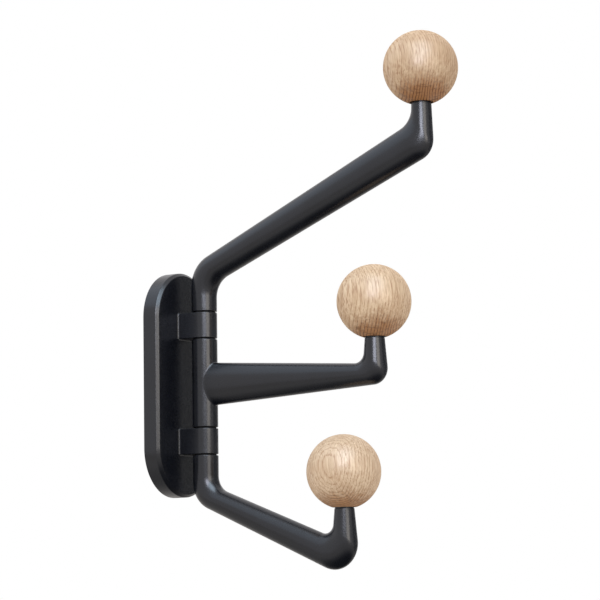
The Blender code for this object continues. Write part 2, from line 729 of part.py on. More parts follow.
def arm_side_view(form):
    """Matched points along the over side and the under side of an arm, as (out, up)."""
    tangent = math.tan(math.radians(form.slope))
    steepness = math.hypot(1, tangent)
    end_height = form.root_height + form.reach * tangent
    flare = math.tan(math.radians(form.neck_flare))
    top = neck_shoulder(form) - EDGE_ROUND
    sides = []
    for side, radii in ((1, form.over_radii), (-1, form.under_radii)):
        root = np.array((0, form.root_height + side * form.root_half_depth * steepness))
        end = np.array((form.reach, end_height + side * form.elbow_half_depth * steepness))
        neck = np.array((form.reach - side * NECK_RADIUS, top))
        elbow = crossing(root, end - root, neck, np.array((-side * flare, -1)))
        if form.barrel_end:
            facing = -side if form.barrel_end > 0 else side
            inward = math.copysign(EDGE_ROUND, form.barrel_end)
            start = np.array((facing * BARREL_RADIUS, form.barrel_end + inward))
            bend = crossing(start, np.array((0, 1)), root, end - root)
            corners = [start, bend, elbow, neck]
            spans = (1, ARM_RUN_STEPS, NECK_STEPS)
        else:
            corners = [root, elbow, neck]
            spans = (ARM_RUN_STEPS, NECK_STEPS)
        sides.append(rounded_path(corners, radii, spans))
    return sides


def arm_half_widths(form, half_depths):
    """Sideways half width at each station: root to elbow, then round like the neck."""
    run_start = ARC_STEPS + 1 if form.barrel_end else 0
    run_end = run_start + ARM_RUN_STEPS
    elbow_end = run_end + ARC_STEPS
    neck_base = half_depths[elbow_end]
    widths = []
    for station, half_depth in enumerate(half_depths):
        if station <= run_start:
            widths.append(form.root_half_width)
        elif station <= run_end:
            share = (station - run_start) / (run_end - run_start)
            widths.append(form.root_half_width + (form.elbow_half_width - form.root_half_width) * share)
        elif station <= elbow_end:
            share = (station - run_end) / (elbow_end - run_end)
            ease = (1 - math.cos(math.pi * share)) / 2
            widths.append(form.elbow_half_width + (neck_base - form.elbow_half_width) * ease)
        else:
            widths.append(half_depth)
    return widths


def arm_rings(form):
    """Elliptical rings along an arm from its root to its neck, and round ones up its spigot."""
    over, under = arm_side_view(form)
    spans = [(a - b) / 2 for a, b in zip(over, under)]
    widths = arm_half_widths(form, [float(abs(span[0])) for span in spans])
    turns = [math.tau * step / ARM_SEGMENTS for step in range(ARM_SEGMENTS)]
    rings = []
    for a, b, span, width in zip(over, under, spans, widths):
        centre = (a + b) / 2
        points = [(width * math.sin(turn), *(centre + span * math.cos(turn))) for turn in turns]
        rings.append([Vector((x, -out, up)) for x, out, up in points])
    rings.append(rounded_end(rings[-1], 1))
    for height in (neck_shoulder(form), neck_top(form)):
        centre = (0, -form.reach, height)
        rings.append([level_point(centre, NECK_SPIGOT_RADIUS, turn) for turn in turns])
    if form.barrel_end:
        rings.insert(0, rounded_end(rings[0], -math.copysign(1, form.barrel_end)))
    return rings


def level_point(centre, radius, turn):
    """Point at a turn round a level circle. It matches an arm's rings, which start over the arm."""
    x, y, z = centre
    return Vector((x + radius * math.sin(turn), y + radius * math.cos(turn), z))


def rounded_end(ring, direction):
    """Smaller copy of a level ring, one edge round beyond it, that chamfers a round end."""
    centre = sum(ring, Vector()) / len(ring)
    radius = (ring[0] - centre).length
    beyond = Vector((0, 0, direction * EDGE_ROUND))
    return [centre + (point - centre) * (radius - EDGE_ROUND) / radius + beyond for point in ring]


def barrel_bore_profile(mouth, direction, depth):
    """Stepped bore from a barrel's mouth: a seat for the bush, then room for the axle."""
    seat_end = mouth + direction * (BUSH_LENGTH + SEAT_GAP)
    points = [
        (0, mouth - direction * CUT_OVERRUN),
        (BUSH_SEAT_RADIUS, mouth - direction * CUT_OVERRUN),
        (BUSH_SEAT_RADIUS, seat_end),
        (AXLE_HOLE_RADIUS, seat_end),
        (AXLE_HOLE_RADIUS, mouth + direction * depth),
        (0, mouth + direction * depth),
    ]
    return points[::-1] if direction > 0 else points


def cut_stud_hole(arm, form):
    """Blind hole down the neck for the ball's stud."""
    top = neck_top(form)
    bottom = top - STUD_HALF_LENGTH - STUD_HOLE_SPARE
    hole = hole_profile(STUD_RADIUS + RUNNING_GAP, top + CUT_OVERRUN, bottom)
    boolean(arm, "stud_hole", turned(hole, SCREW_SEGMENTS), location=(0, -form.reach, 0))


def build_outer_arm(name, form, material, screw_material):
    """Top or bottom arm: one casting from its barrel to its neck, held on by a groove screw."""
    direction = math.copysign(1, form.barrel_end)
    arm = add_object(name, loft(arm_rings(form)), material, location=(0, AXIS_Y, 0))
    depth = AXLE_END - OUTER_BARREL_END + CUT_OVERRUN
    bore = barrel_bore_profile(form.barrel_end, direction, depth)
    boolean(arm, "bore", turned(bore, BARREL_SEGMENTS))
    cut_stud_hole(arm, form)

    outer = BARREL_RADIUS - ARM_SCREW_INSET
    length = outer - (AXLE_RADIUS - GROOVE_DEPTH + SEAT_GAP)
    height = direction * ARM_SCREW_Z
    hole = hole_profile(ARM_SCREW_DIAMETER / 2 + RUNNING_GAP, BARREL_RADIUS + CUT_OVERRUN, 0)
    hole_shape = turned(hole, SCREW_SEGMENTS)
    boolean(arm, "screw_hole", hole_shape, location=(0, 0, height), rotation=FACING_WALL)
    profile = rod_profile(ARM_SCREW_DIAMETER / 2, 0, -length, SCREW_CHAMFER)
    location = (0, AXIS_Y + outer, height)
    add_screw(f"{name}_screw", profile, ARM_SCREW_DIAMETER, screw_material, location, FACING_WALL)
    return arm


def build_middle_arm(name, form, material):
    """Middle arm: a tapering oval arm that branches from a barrel between the lugs."""
    end = MIDDLE_BARREL_END
    barrel = turned(rod_profile(BARREL_RADIUS, end, -end, EDGE_ROUND), BARREL_SEGMENTS)
    arm = add_object(name, barrel, material, location=(0, AXIS_Y, 0))
    boolean(arm, "branch", loft(arm_rings(form)), operation="UNION")
    seat_end = end - BUSH_LENGTH - SEAT_GAP
    bore = [
        (0, end + CUT_OVERRUN),
        (BUSH_SEAT_RADIUS, end + CUT_OVERRUN),
        (BUSH_SEAT_RADIUS, seat_end),
        (AXLE_HOLE_RADIUS, seat_end),
    ]
    bore += [(radius, -height) for radius, height in reversed(bore)]
    boolean(arm, "bore", turned(bore, BARREL_SEGMENTS))
    cut_stud_hole(arm, form)
    return arm


# Balls


def ball_profile():
    """Turned ball, from its top down its outer side, with the neck's recess and insert hole."""
    sweep = math.pi - math.asin(BALL_RECESS_RADIUS / BALL_RADIUS)
    turns = [sweep * step / BALL_ARC_STEPS for step in range(BALL_ARC_STEPS + 1)]
    arc = [(BALL_RADIUS * math.sin(turn), BALL_RADIUS * math.cos(turn)) for turn in turns]
    hole_radius = INSERT_RADIUS + RUNNING_GAP
    hole_top = INSERT_LENGTH + SEAT_GAP - BALL_SEAT_DROP
    return arc + [
        (BALL_RECESS_RADIUS, -BALL_SEAT_DROP),
        (hole_radius, -BALL_SEAT_DROP),
        (hole_radius, hole_top),
        (0, hole_top),
    ]


def build_ball(name, form, arm, oak, brass, steel):
    """Oak ball on an arm's neck, with its threaded insert and the stud between the two."""
    centre = (0, -form.reach, form.ball_height)
    add_object(f"{name}_ball", turned(ball_profile(), BALL_SEGMENTS), oak, centre, parent=arm)
    insert_bottom = -BALL_SEAT_DROP
    insert = [
        (INSERT_BORE_RADIUS, insert_bottom + INSERT_LENGTH),
        (INSERT_RADIUS, insert_bottom + INSERT_LENGTH),
        (INSERT_RADIUS, insert_bottom),
        (INSERT_BORE_RADIUS, insert_bottom),
    ]
    shape = turned(insert, SCREW_SEGMENTS, closed=True)
    add_object(f"{name}_ball_insert", shape, brass, centre, parent=arm)
    stud = rod_profile(STUD_RADIUS, STUD_HALF_LENGTH, -STUD_HALF_LENGTH, SCREW_CHAMFER)
    location = (0, -form.reach, neck_top(form))
    add_object(f"{name}_ball_stud", turned(stud, SCREW_SEGMENTS), steel, location, parent=arm)


def main():
    """Build the whole rack."""
    clear_scene()
    powder_coat = make_material(*POWDER_COAT)
    oak = make_material(*OAK)
    steel = make_material(*STEEL)
    brass = make_material(*BRASS)
    polymer = make_material(*POLYMER)

    build_plate(powder_coat)
    build_bracket(steel)
    build_plate_screws(steel)
    build_lug("upper_lug", LUG_CENTRE, powder_coat)
    build_lug("lower_lug", -LUG_CENTRE, powder_coat)
    build_axle(steel)

    forms = arm_forms()
    arms = {
        "top": build_outer_arm("top_arm", forms["top"], powder_coat, steel),
        "middle": build_middle_arm("middle_arm", forms["middle"], powder_coat),
        "bottom": build_outer_arm("bottom_arm", forms["bottom"], powder_coat, steel),
    }
    build_bush("top_arm_bush", OUTER_BARREL_END, 1, polymer)
    build_bush("middle_arm_upper_bush", MIDDLE_BARREL_END, -1, polymer)
    build_bush("middle_arm_lower_bush", -MIDDLE_BARREL_END, 1, polymer)
    build_bush("bottom_arm_bush", -OUTER_BARREL_END, -1, polymer)
    for name, form in forms.items():
        build_ball(name, form, arms[name], oak, brass, steel)
    apply_booleans()


main()
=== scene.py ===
import json
import math
from typing import NamedTuple

import bmesh
import bpy
import numpy as np
from mathutils import Matrix, Vector


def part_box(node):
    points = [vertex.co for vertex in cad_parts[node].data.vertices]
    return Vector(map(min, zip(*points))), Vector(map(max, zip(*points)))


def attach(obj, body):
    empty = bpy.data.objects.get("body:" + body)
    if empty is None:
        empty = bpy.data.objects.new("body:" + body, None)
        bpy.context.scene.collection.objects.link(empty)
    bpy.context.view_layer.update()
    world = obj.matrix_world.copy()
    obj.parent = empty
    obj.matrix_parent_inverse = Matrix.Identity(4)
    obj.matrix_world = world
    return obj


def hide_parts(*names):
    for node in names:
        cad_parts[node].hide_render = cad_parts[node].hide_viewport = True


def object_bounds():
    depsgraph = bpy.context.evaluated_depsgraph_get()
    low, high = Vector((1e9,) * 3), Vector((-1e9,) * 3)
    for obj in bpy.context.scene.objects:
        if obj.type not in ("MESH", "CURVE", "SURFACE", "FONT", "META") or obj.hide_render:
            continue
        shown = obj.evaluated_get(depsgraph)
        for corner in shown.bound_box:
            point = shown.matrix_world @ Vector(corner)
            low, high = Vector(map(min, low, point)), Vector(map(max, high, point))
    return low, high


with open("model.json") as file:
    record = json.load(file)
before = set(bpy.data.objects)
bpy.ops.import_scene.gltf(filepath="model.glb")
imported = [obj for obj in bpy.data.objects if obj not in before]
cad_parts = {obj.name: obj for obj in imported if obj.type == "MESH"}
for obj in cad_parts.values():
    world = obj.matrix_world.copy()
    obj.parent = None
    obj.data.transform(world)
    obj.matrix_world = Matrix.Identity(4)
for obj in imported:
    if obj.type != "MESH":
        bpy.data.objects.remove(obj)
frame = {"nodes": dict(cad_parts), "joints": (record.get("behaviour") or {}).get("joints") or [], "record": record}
cad_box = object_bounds()

# Camera, solved from the outlines: angles in degrees, place and clip start in metres, lens and
# sensor in millimetres
CAMERA_AZIMUTH = -57.247
CAMERA_ELEVATION = -7.138
CAMERA_ROLL = -0.880
CAMERA_PLACE = Vector((-1.20201, -0.87049, -0.13209))
CAMERA_LENS = 141.15
CAMERA_SENSOR = 36.0
CAMERA_CLIP_START = 0.01


class Softbox(NamedTuple):
    """Rectangular lamp that faces the rack.

    Its place is azimuth, elevation and distance, and its size is width and height, in degrees
    and metres. Its power is in watts.
    """

    place: tuple
    size: tuple
    power: float
    colour: tuple
    lights_matt: bool = True
    lights_gloss: bool = True


# The key, the strip and the side lamp only draw highlights, the fill only lights what is matt, and
# the sky does both from the wall's side
SOFTBOXES = {
    "key": Softbox((-51.0, 49.0, 1.15), (0.72, 0.90), 15.5, (0.66, 0.83, 1.0), lights_matt=False),
    "strip": Softbox((-61.0, 17.2, 0.90), (0.42, 0.22), 4.5, (0.82, 0.85, 1.0), lights_matt=False),
    "side": Softbox((-26.8, 11.0, 1.3), (0.64, 0.6), 5.2, (1.0, 0.93, 0.84), lights_matt=False),
    "fill": Softbox((-58.0, 52.0, 1.5), (1.8, 1.8), 10.6, (0.80, 0.92, 1.0), lights_gloss=False),
    "sky": Softbox((-138.0, 48.0, 1.5), (1.6, 1.2), 4.1, (0.55, 0.75, 1.0)),
}
WHITE = (1.0, 1.0, 1.0)
DAYLIGHT_COLOUR = (0.985, 0.965, 0.98)
AMBIENT_STRENGTH = 0.93
BACKGROUND_STRENGTH = 1.0

# Two cards, seen only in reflections, that keep the coat dark from the right and from below. The
# right one is placed like a softbox. The lower one fades into the floor from its core outwards
RIGHT_CARD_PLACE = (57.0, 6.0, 0.75)
RIGHT_CARD_WIDTH = 1.1
RIGHT_CARD_HEIGHT = 1.3
RIGHT_CARD_TONE = 0.32
LOWER_CARD_DROP = 0.30
LOWER_CARD_SIZE = 1.7
LOWER_CARD_PLACE = (-0.10, -0.22)
LOWER_CARD_TONE = 0.03
LOWER_CARD_CORE = 0.16
LOWER_CARD_FADE = 0.80
FLOOR_DROP = 0.45
FLOOR_SIZE = 6.0

# Sizes of the part, in metres, as its solids have them
AXIS_Y = frame["joints"][0]["pos_m"][1]
PLATE_WIDTH = 0.060
PLATE_THICKNESS = 0.011
PLATE_CHAMFER = 0.0018
PLATE_FRONT_WALL = 0.0035
PLATE_RIM = 0.005
RECESS_TOP_MARGIN = 0.0195
RECESS_BOTTOM_MARGIN = 0.009
HOOK_LIP_THICKNESS = 0.0028
HOOK_POCKET_HEIGHT = 0.006
BRACKET_THICKNESS = 0.002
BRACKET_WIDTH = 0.030
BARREL_RADIUS = 0.008
EDGE_ROUND = 0.0004
LUG_HEIGHT = 0.016
LUG_SEAT_RISE = 0.001
LUG_SCREW_DIAMETER = 0.003
LUG_SCREW_HEAD_DIAMETER = 0.0056
LUG_SCREW_HEAD_RIM = 0.0003
LUG_SCREW_LENGTH = 0.010
LUG_HOLE_SPARE = 0.001
LOCK_SCREW_DIAMETER = 0.004
AXLE_SEAT_RADIUS = 0.0042
AXLE_HOLE_RADIUS = 0.0043
BUSH_SEAT_RADIUS = 0.0054
BUSH_LENGTH = 0.008
ARM_SCREW_DIAMETER = 0.003
NECK_RADIUS = 0.0061
NECK_SHADOW_GAP = 0.0009
BALL_RADIUS = 0.0225
BALL_RECESS_RADIUS = 0.0071
BALL_RECESS_DEPTH = 0.0025
INSERT_HOLE_RADIUS = 0.0044
INSERT_LENGTH = 0.012
STUD_DIAMETER = 0.005
STUD_HALF_LENGTH = 0.0105
STUD_HOLE_SPARE = 0.001
SEAT_GAP = 0.0003
RUNNING_GAP = 0.0002
CUT_OVERRUN = 0.001
MERGE_DISTANCE = 0.000001

# Only here: small rounds, overlaps, and necks that end higher than in the solids, on a thicker
# spigot, so that the gap under each ball stays a thin dark line
PLATE_CHAMFER_ROUND = 0.0006
PLATE_REAR_ROUND = 0.0003
BALL_RIM_ROUND = 0.0003
LUG_SEAT_SINK = 0.00002
JUNCTION_ROUND = 0.0011
JUNCTION_SINK = 0.00004
JUNCTION_START_SHARE = 0.75
NECK_RISE = 0.0004
NECK_SPIGOT_RADIUS = 0.0057

# Facet counts, and the angle in degrees from which an edge stays sharp
BALL_SEGMENTS = 128
BALL_ARC_STEPS = 72
ARM_SEGMENTS = 72
ARC_STEPS = 20
ARM_RUN_STEPS = 12
NECK_STEPS = 4
BARREL_STEPS = 28
BARREL_SEGMENTS = 96
NOSE_STEPS = 48
END_ARC_STEPS = 96
SCREW_SEGMENTS = 32
RIM_STEPS = 4
JUNCTION_STEPS = 6
SMOOTH_LIMIT = 32

# Sizes that follow
BALL_RIM_DROP = math.sqrt(BALL_RADIUS**2 - BALL_RECESS_RADIUS**2)
BALL_SEAT_DROP = BALL_RIM_DROP - BALL_RECESS_DEPTH
RECESS_DEPTH = PLATE_THICKNESS - PLATE_FRONT_WALL

LUGS = ("upper_lug", "lower_lug")
FACING_WALL = (-math.pi / 2, 0, 0)


class ArmForm(NamedTuple):
    """Side view of an arm in the plane through its axle, in metres, with angles in degrees."""

    root_rise: float
    slope: float
    root_half_depth: float
    elbow_half_depth: float
    root_half_width: float
    elbow_half_width: float
    over_radii: tuple
    under_radii: tuple
    neck_flare: float
    barrel_side: int


# The root's rise is from the barrel's inner end, or from the origin where the arm branches. Its
# side of the barrel is 1 for above, -1 for below and 0 for a branch
ARM_FORMS = {
    "top": ArmForm(
        root_rise=0.0238,
        slope=23.25,
        root_half_depth=0.0086,
        elbow_half_depth=0.0118,
        root_half_width=BARREL_RADIUS,
        elbow_half_width=0.0076,
        over_radii=(0.020, 0.0138),
        under_radii=(0.0144, 0.012),
        neck_flare=2.0,
        barrel_side=1,
    ),
    "middle": ArmForm(
        root_rise=-0.0007,
        slope=-0.53,
        root_half_depth=0.0138,
        elbow_half_depth=0.0063,
        root_half_width=0.0069,
        elbow_half_width=0.0068,
        over_radii=(0.007,),
        under_radii=(0.0093,),
        neck_flare=4.7,
        barrel_side=0,
    ),
    "bottom": ArmForm(
        root_rise=-0.0246,
        slope=-22.7,
        root_half_depth=0.0070,
        elbow_half_depth=0.0095,
        root_half_width=BARREL_RADIUS,
        elbow_half_width=0.0076,
        over_radii=(0.0116, 0.0068),
        under_radii=(0.0173, 0.015),
        neck_flare=5.0,
        barrel_side=-1,
    ),
}


# Scene tools


def link_object(name, data, location=(0, 0, 0), rotation=(0, 0, 0)):
    """Put a mesh, a lamp or a camera into the scene as an object."""
    item = bpy.data.objects.new(name, data)
    bpy.context.scene.collection.objects.link(item)
    item.location = location
    item.rotation_euler = rotation
    return item


def add_object(name, shape, location=(0, 0, 0), rotation=(0, 0, 0)):
    """Put a shape into the scene as one smooth-shaded object."""
    mesh = bpy.data.meshes.new(name)
    shape.to_mesh(mesh)
    shape.free()
    mesh.shade_smooth()
    return link_object(name, mesh, location, rotation)


def boolean(body, label, shape, operation="DIFFERENCE", location=(0, 0, 0), rotation=(0, 0, 0)):
    """Cut a shape out of a body, or join it on."""
    tool = add_object(f"{body.name}_{label}", shape, location, rotation)
    modifier = body.modifiers.new(label, "BOOLEAN")
    modifier.operation = operation
    modifier.object = tool
    bpy.context.view_layer.update()
    graph = bpy.context.evaluated_depsgraph_get()
    mesh = bpy.data.meshes.new_from_object(body.evaluated_get(graph))
    body.modifiers.clear()
    body.data = mesh
    bpy.data.objects.remove(tool, do_unlink=True)


def finish_piece(piece, body, slot, material, *nodes):
    """Give a piece its edges, normals and finish, and put it on a body in place of CAD nodes."""
    piece.data.set_sharp_from_angle(angle=math.radians(SMOOTH_LIMIT))
    piece.data.materials.clear()
    piece.data.materials.append(material)
    modifier = piece.modifiers.new("even_normals", "WEIGHTED_NORMAL")
    modifier.keep_sharp = True
    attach(piece, body)
    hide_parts(*nodes)


def turned(profile, segments):
    """Turn a profile of (radius, height) points, listed from the top down, about the Z axis."""
    shape = bmesh.new()
    verts = [shape.verts.new((radius, 0, height)) for radius, height in profile]
    edges = [shape.edges.new(pair) for pair in zip(verts, verts[1:])]
    bmesh.ops.spin(
        shape,
        geom=verts + edges,
        axis=(0, 0, 1),
        angle=math.tau,
        steps=segments,
        use_merge=True,
    )
    bmesh.ops.remove_doubles(shape, verts=shape.verts, dist=MERGE_DISTANCE)
    bmesh.ops.recalc_face_normals(shape, faces=shape.faces)
    return shape


def loft(rings):
    """Skin a list of rings that have the same number of points, and close both ends."""
    shape = bmesh.new()
    loops = [[shape.verts.new(point) for point in ring] for ring in rings]
    for near, far in zip(loops, loops[1:]):
        for index in range(len(near)):
            shape.faces.new((near[index - 1], near[index], far[index], far[index - 1]))
    shape.faces.new(loops[0])
    shape.faces.new(loops[-1])
    bmesh.ops.recalc_face_normals(shape, faces=shape.faces)
    return shape


def joined_loft(rings):
    """Loft whose points that fall together are merged."""
    shape = loft(rings)
    bmesh.ops.remove_doubles(shape, verts=shape.verts, dist=MERGE_DISTANCE)
    bmesh.ops.recalc_face_normals(shape, faces=shape.faces)
    return shape


def hole(radius, top, bottom):
    """Plain round hole, as a shape that cuts it."""
    return turned([(0, top), (radius, top), (radius, bottom), (0, bottom)], SCREW_SEGMENTS)


def crossing(point_a, direction_a, point_b, direction_b):
    """Point where two straight lines in one plane cross."""
    steps = np.linalg.solve(np.column_stack((direction_a, -direction_b)), point_b - point_a)
    return point_a + direction_a * steps[0]


def unit(vector):
    """The vector's direction, with length one."""
    return vector / np.linalg.norm(vector)


def rotated(vector, angle):
    """A flat vector, turned anticlockwise."""
    cosine = math.cos(angle)
    sine = math.sin(angle)
    return np.array((vector[0] * cosine - vector[1] * sine, vector[0] * sine + vector[1] * cosine))


def rounded_path(corners, radii, spans, arc_steps):
    """Points along straight runs, in even spans, whose inner corners are rounded by arcs."""
    points = []
    start = corners[0]
    bends = zip(corners[1:], corners, corners[2:], radii, spans)
    for corner, before, after, radius, count in bends:
        back = unit(before - corner)
        ahead = unit(after - corner)
        half_angle = math.acos(float(back @ ahead)) / 2
        centre = corner + unit(back + ahead) * radius / math.sin(half_angle)
        arc_start = corner + back * radius / math.tan(half_angle)
        arc_end = corner + ahead * radius / math.tan(half_angle)
        points += [start + (arc_start - start) * step / count for step in range(count)]
        spoke = arc_start - centre
        sweep = math.copysign(math.pi - 2 * half_angle, back[0] * spoke[1] - back[1] * spoke[0])
        points += [centre + rotated(spoke, sweep * step / arc_steps) for step in range(arc_steps)]
        start = arc_end
    points += [start + (corners[-1] - start) * step / spans[-1] for step in range(spans[-1] + 1)]
    return points


def quarter_turns():
    """Angles of a small round edge, from just above nothing to a quarter turn."""
    return [math.pi / 2 * step / RIM_STEPS for step in range(1, RIM_STEPS + 1)]


def soft_corner(start, corner, end, share):
    """Point of the curve from start to end that leans into the corner between them."""
    return (1 - share) ** 2 * start + 2 * share * (1 - share) * corner + share**2 * end


def level_rings(ring, sizes):
    """Copies of a level round ring with other radii and heights."""
    centre = sum(ring, Vector()) / len(ring)
    spokes = [point - centre for point in ring]
    rings = []
    for radius, height in sizes:
        share = radius / spokes[0].length
        rings.append([Vector((*(centre + spoke * share).xy, height)) for spoke in spokes])
    return rings


def smoothing_group():
    """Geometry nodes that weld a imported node's facets and shade it smooth between its edges."""
    group = bpy.data.node_groups.new("smooth_facets", "GeometryNodeTree")
    group.interface.new_socket("Geometry", in_out="INPUT", socket_type="NodeSocketGeometry")
    group.interface.new_socket("Geometry", in_out="OUTPUT", socket_type="NodeSocketGeometry")
    new = group.nodes.new
    link = group.links.new
    source, result = new("NodeGroupInput"), new("NodeGroupOutput")
    plain = new("GeometryNodeRemoveAttribute")
    plain.inputs["Name"].default_value = "custom_normal"
    weld = new("GeometryNodeMergeByDistance")
    weld.inputs["Distance"].default_value = MERGE_DISTANCE
    faces = new("GeometryNodeSetShadeSmooth")
    edges = new("GeometryNodeSetShadeSmooth")
    edges.domain = "EDGE"
    edges.inputs["Shade Smooth"].default_value = False
    angle = new("GeometryNodeInputMeshEdgeAngle")
    sharp = new("FunctionNodeCompare")
    sharp.inputs["B"].default_value = math.radians(SMOOTH_LIMIT)
    link(angle.outputs["Unsigned Angle"], sharp.inputs["A"])
    link(sharp.outputs["Result"], edges.inputs["Selection"])
    steps = [source, plain, weld, faces, edges, result]
    for before, after in zip(steps, steps[1:]):
        link(before.outputs[0], after.inputs[0])
    return group


# Shader tools


# Sockets of the Mix node that take and give colours, and the range that noise mostly fills
MIX_FACTOR, MIX_A, MIX_B, MIX_RESULT = 0, 6, 7, 2
NOISE_REACH = (0.3, 0.7)


class Pattern(NamedTuple):
    """Noise or cells.

    Cell is their size in metres, on all axes or on each. Their marks begin at one value and are
    full at another. Detail and roughness are the noise's own.
    """

    cell: float | tuple
    begin: float = 0.35
    full: float = 0.65
    strength: float = 1.0
    detail: float = 2.0
    roughness: float = 0.5


class Nodes:
    """A node tree, with short ways to add its nodes."""

    def __init__(self, tree):
        self.tree = tree

    def feed(self, socket, value):
        """Give a socket another node's output, or a number or a colour."""
        if isinstance(value, bpy.types.NodeSocket):
            self.tree.links.new(value, socket)
        else:
            socket.default_value = value

    def add(self, kind, inputs, **settings):
        """Add a node. Inputs are numbers, colours or other nodes' outputs."""
        made = self.tree.nodes.new(kind)
        for key, value in settings.items():
            setattr(made, key, value)
        for key, value in inputs.items():
            self.feed(made.inputs[key], value)
        return made

    def vector(self, operation, a, b):
        """Vector maths."""
        return self.add("ShaderNodeVectorMath", {0: a, 1: b}, operation=operation).outputs["Vector"]

    def parts(self, a):
        """A vector's three numbers."""
        return self.add("ShaderNodeSeparateXYZ", {"Vector": a}).outputs

    def maths(self, operation, a, b=0.0, c=0.0):
        """Number maths."""
        return self.add("ShaderNodeMath", {0: a, 1: b, 2: c}, operation=operation).outputs["Value"]

    def length(self, x, y):
        """Length of a flat vector."""
        return self.maths("SQRT", self.maths("MULTIPLY_ADD", x, x, self.maths("POWER", y, 2.0)))

    def scaled(self, place, cell):
        """Inputs that count a place in cells."""
        cell = cell if isinstance(cell, tuple) else (cell,) * 3
        return {"Vector": self.vector("DIVIDE", place, cell), "Scale": 1.0}

    def noise(self, place, pattern):
        """Noise of a pattern."""
        inputs = self.scaled(place, pattern.cell)
        inputs |= {"Detail": pattern.detail, "Roughness": pattern.roughness}
        return self.add("ShaderNodeTexNoise", inputs).outputs["Fac"]

    def cells(self, place, pattern):
        """Distance from the middle of the nearest random cell, in cells."""
        inputs = self.scaled(place, pattern.cell)
        return self.add("ShaderNodeTexVoronoi", inputs).outputs["Distance"]

    def span(self, value, low, high, start=0.0, end=1.0):
        """A value's range mapped softly to another one."""
        inputs = {"Value": value, "From Min": low, "From Max": high, "To Min": start, "To Max": end}
        made = self.add("ShaderNodeMapRange", inputs, interpolation_type="SMOOTHSTEP")
        return made.outputs["Result"]

    def marks(self, value, pattern):
        """How strong a pattern's marks are where its noise or cells have a value."""
        return self.span(value, pattern.begin, pattern.full, 0.0, pattern.strength)

    def mix(self, share, a, b):
        """A mix of two colours."""
        ends = [end if isinstance(end, bpy.types.NodeSocket) else (*end, 1) for end in (a, b)]
        inputs = {MIX_FACTOR: share, MIX_A: ends[0], MIX_B: ends[1]}
        return self.add("ShaderNodeMix", inputs, data_type="RGBA").outputs[MIX_RESULT]


class Shader(Nodes):
    """A material's node tree."""

    def __init__(self, name):
        self.material = bpy.data.materials.new(name)
        self.material.use_nodes = True
        super().__init__(self.material.node_tree)
        self.surface = self.tree.nodes["Principled BSDF"]

    def place(self):
        """Place on the object, in metres."""
        return self.add("ShaderNodeTexCoord", {}).outputs["Object"]

    def bump(self, height, distance, strength, normal=None):
        """Normal of a relief whose height of one is a distance in metres."""
        inputs = {"Height": height, "Distance": distance, "Strength": strength}
        if normal:
            inputs["Normal"] = normal
        return self.add("ShaderNodeBump", inputs).outputs["Normal"]

    def dull_rim(self, roughness, low, high, most):
        """Roughness that grows towards the rim, so that no lamp draws a white edge there."""
        rim = self.add("ShaderNodeLayerWeight", {}).outputs["Facing"]
        return self.maths("MAXIMUM", roughness, self.span(rim, low, high, 0.0, most))

    def finish(self, **inputs):
        """Set or link the surface shader's inputs, spelled with _ for a space."""
        for key, value in inputs.items():
            self.feed(self.surface.inputs[key.replace("_", " ")], value)
        return self.material


# Materials. Tones are the two ends of a colour's range, and gloss is a range of roughness. Relief
# is depth in metres and strength. Rim says where a rim begins and is full, and its roughness

COAT_GRAIN = Pattern(0.00035, 0.56, 0.74, 0.5, detail=3.0, roughness=0.6)
COAT_PEEL = Pattern(0.0016, detail=1.0)
COAT_CLOUD = Pattern(0.022, detail=3.0, roughness=0.55)
COAT_TONES = ((0.0036, 0.0045, 0.0078), (0.0047, 0.0058, 0.0096))
COAT_GRAIN_COLOUR = (0.0105, 0.0122, 0.0165)
COAT_GLOSS = (0.245, 0.285)
COAT_GRAIN_GLOSS = (-0.02, 0.03)
COAT_RIM = (0.80, 0.97, 0.6)
COAT_PEEL_RELIEF = (0.00003, 0.35)
COAT_GRAIN_RELIEF = (0.00001, 0.5)


def powder_coat():
    """Matt charcoal powder coat: fine grain over a soft orange peel, and faint dulling."""
    shader = Shader("charcoal_powder_coat")
    place = shader.place()
    grain = shader.noise(place, COAT_GRAIN)
    peel = shader.noise(place, COAT_PEEL)
    cloud = shader.noise(place, COAT_CLOUD)
    tone = shader.mix(shader.marks(cloud, COAT_CLOUD), *COAT_TONES)
    colour = shader.mix(shader.marks(grain, COAT_GRAIN), tone, COAT_GRAIN_COLOUR)
    gloss = shader.span(cloud, *NOISE_REACH, *COAT_GLOSS)
    roughness = shader.maths("ADD", gloss, shader.span(grain, *NOISE_REACH, *COAT_GRAIN_GLOSS))
    roughness = shader.dull_rim(roughness, *COAT_RIM)
    normal = shader.bump(peel, *COAT_PEEL_RELIEF)
    normal = shader.bump(grain, *COAT_GRAIN_RELIEF, normal)
    return shader.finish(Base_Color=colour, Roughness=roughness, Normal=normal)


# Oak. Cells are given round the rings, across them and along the fibres, and arcs round the rings
# are measured at one radius. Early wood is the porous part of a ring, as shares of its width
RING_ARC_RADIUS = 0.036
SWAY = Pattern((0.020, 0.030, 0.040))
SWAY_REACH = 0.0060
WAVER = Pattern((0.0045, 0.0045, 0.022))
WAVER_REACH = 0.0011
EARLY_WOOD_RISE = (0.0, 0.10)
EARLY_WOOD_FALL = (0.38, 0.14)
BANDS = Pattern((0.0018, 0.0020, 0.034), 0.34, 0.66, detail=3.0, roughness=0.6)
LINES = Pattern((0.00095, 0.0010, 0.016), 0.44, 0.68, 0.36, roughness=0.55)
FIBRES = Pattern((0.00040, 0.00045, 0.0080), 0.46, 0.72, 0.32, roughness=0.6)
RAYS = Pattern((0.0008, 0.0060, 0.0026), 0.52, 0.66, 0.55, roughness=0.6)
TINTS = Pattern(0.012, 0.45, 0.75, 0.30)
VESSELS = Pattern((0.00080, 0.00085, 0.0105), 0.56, 0.26)
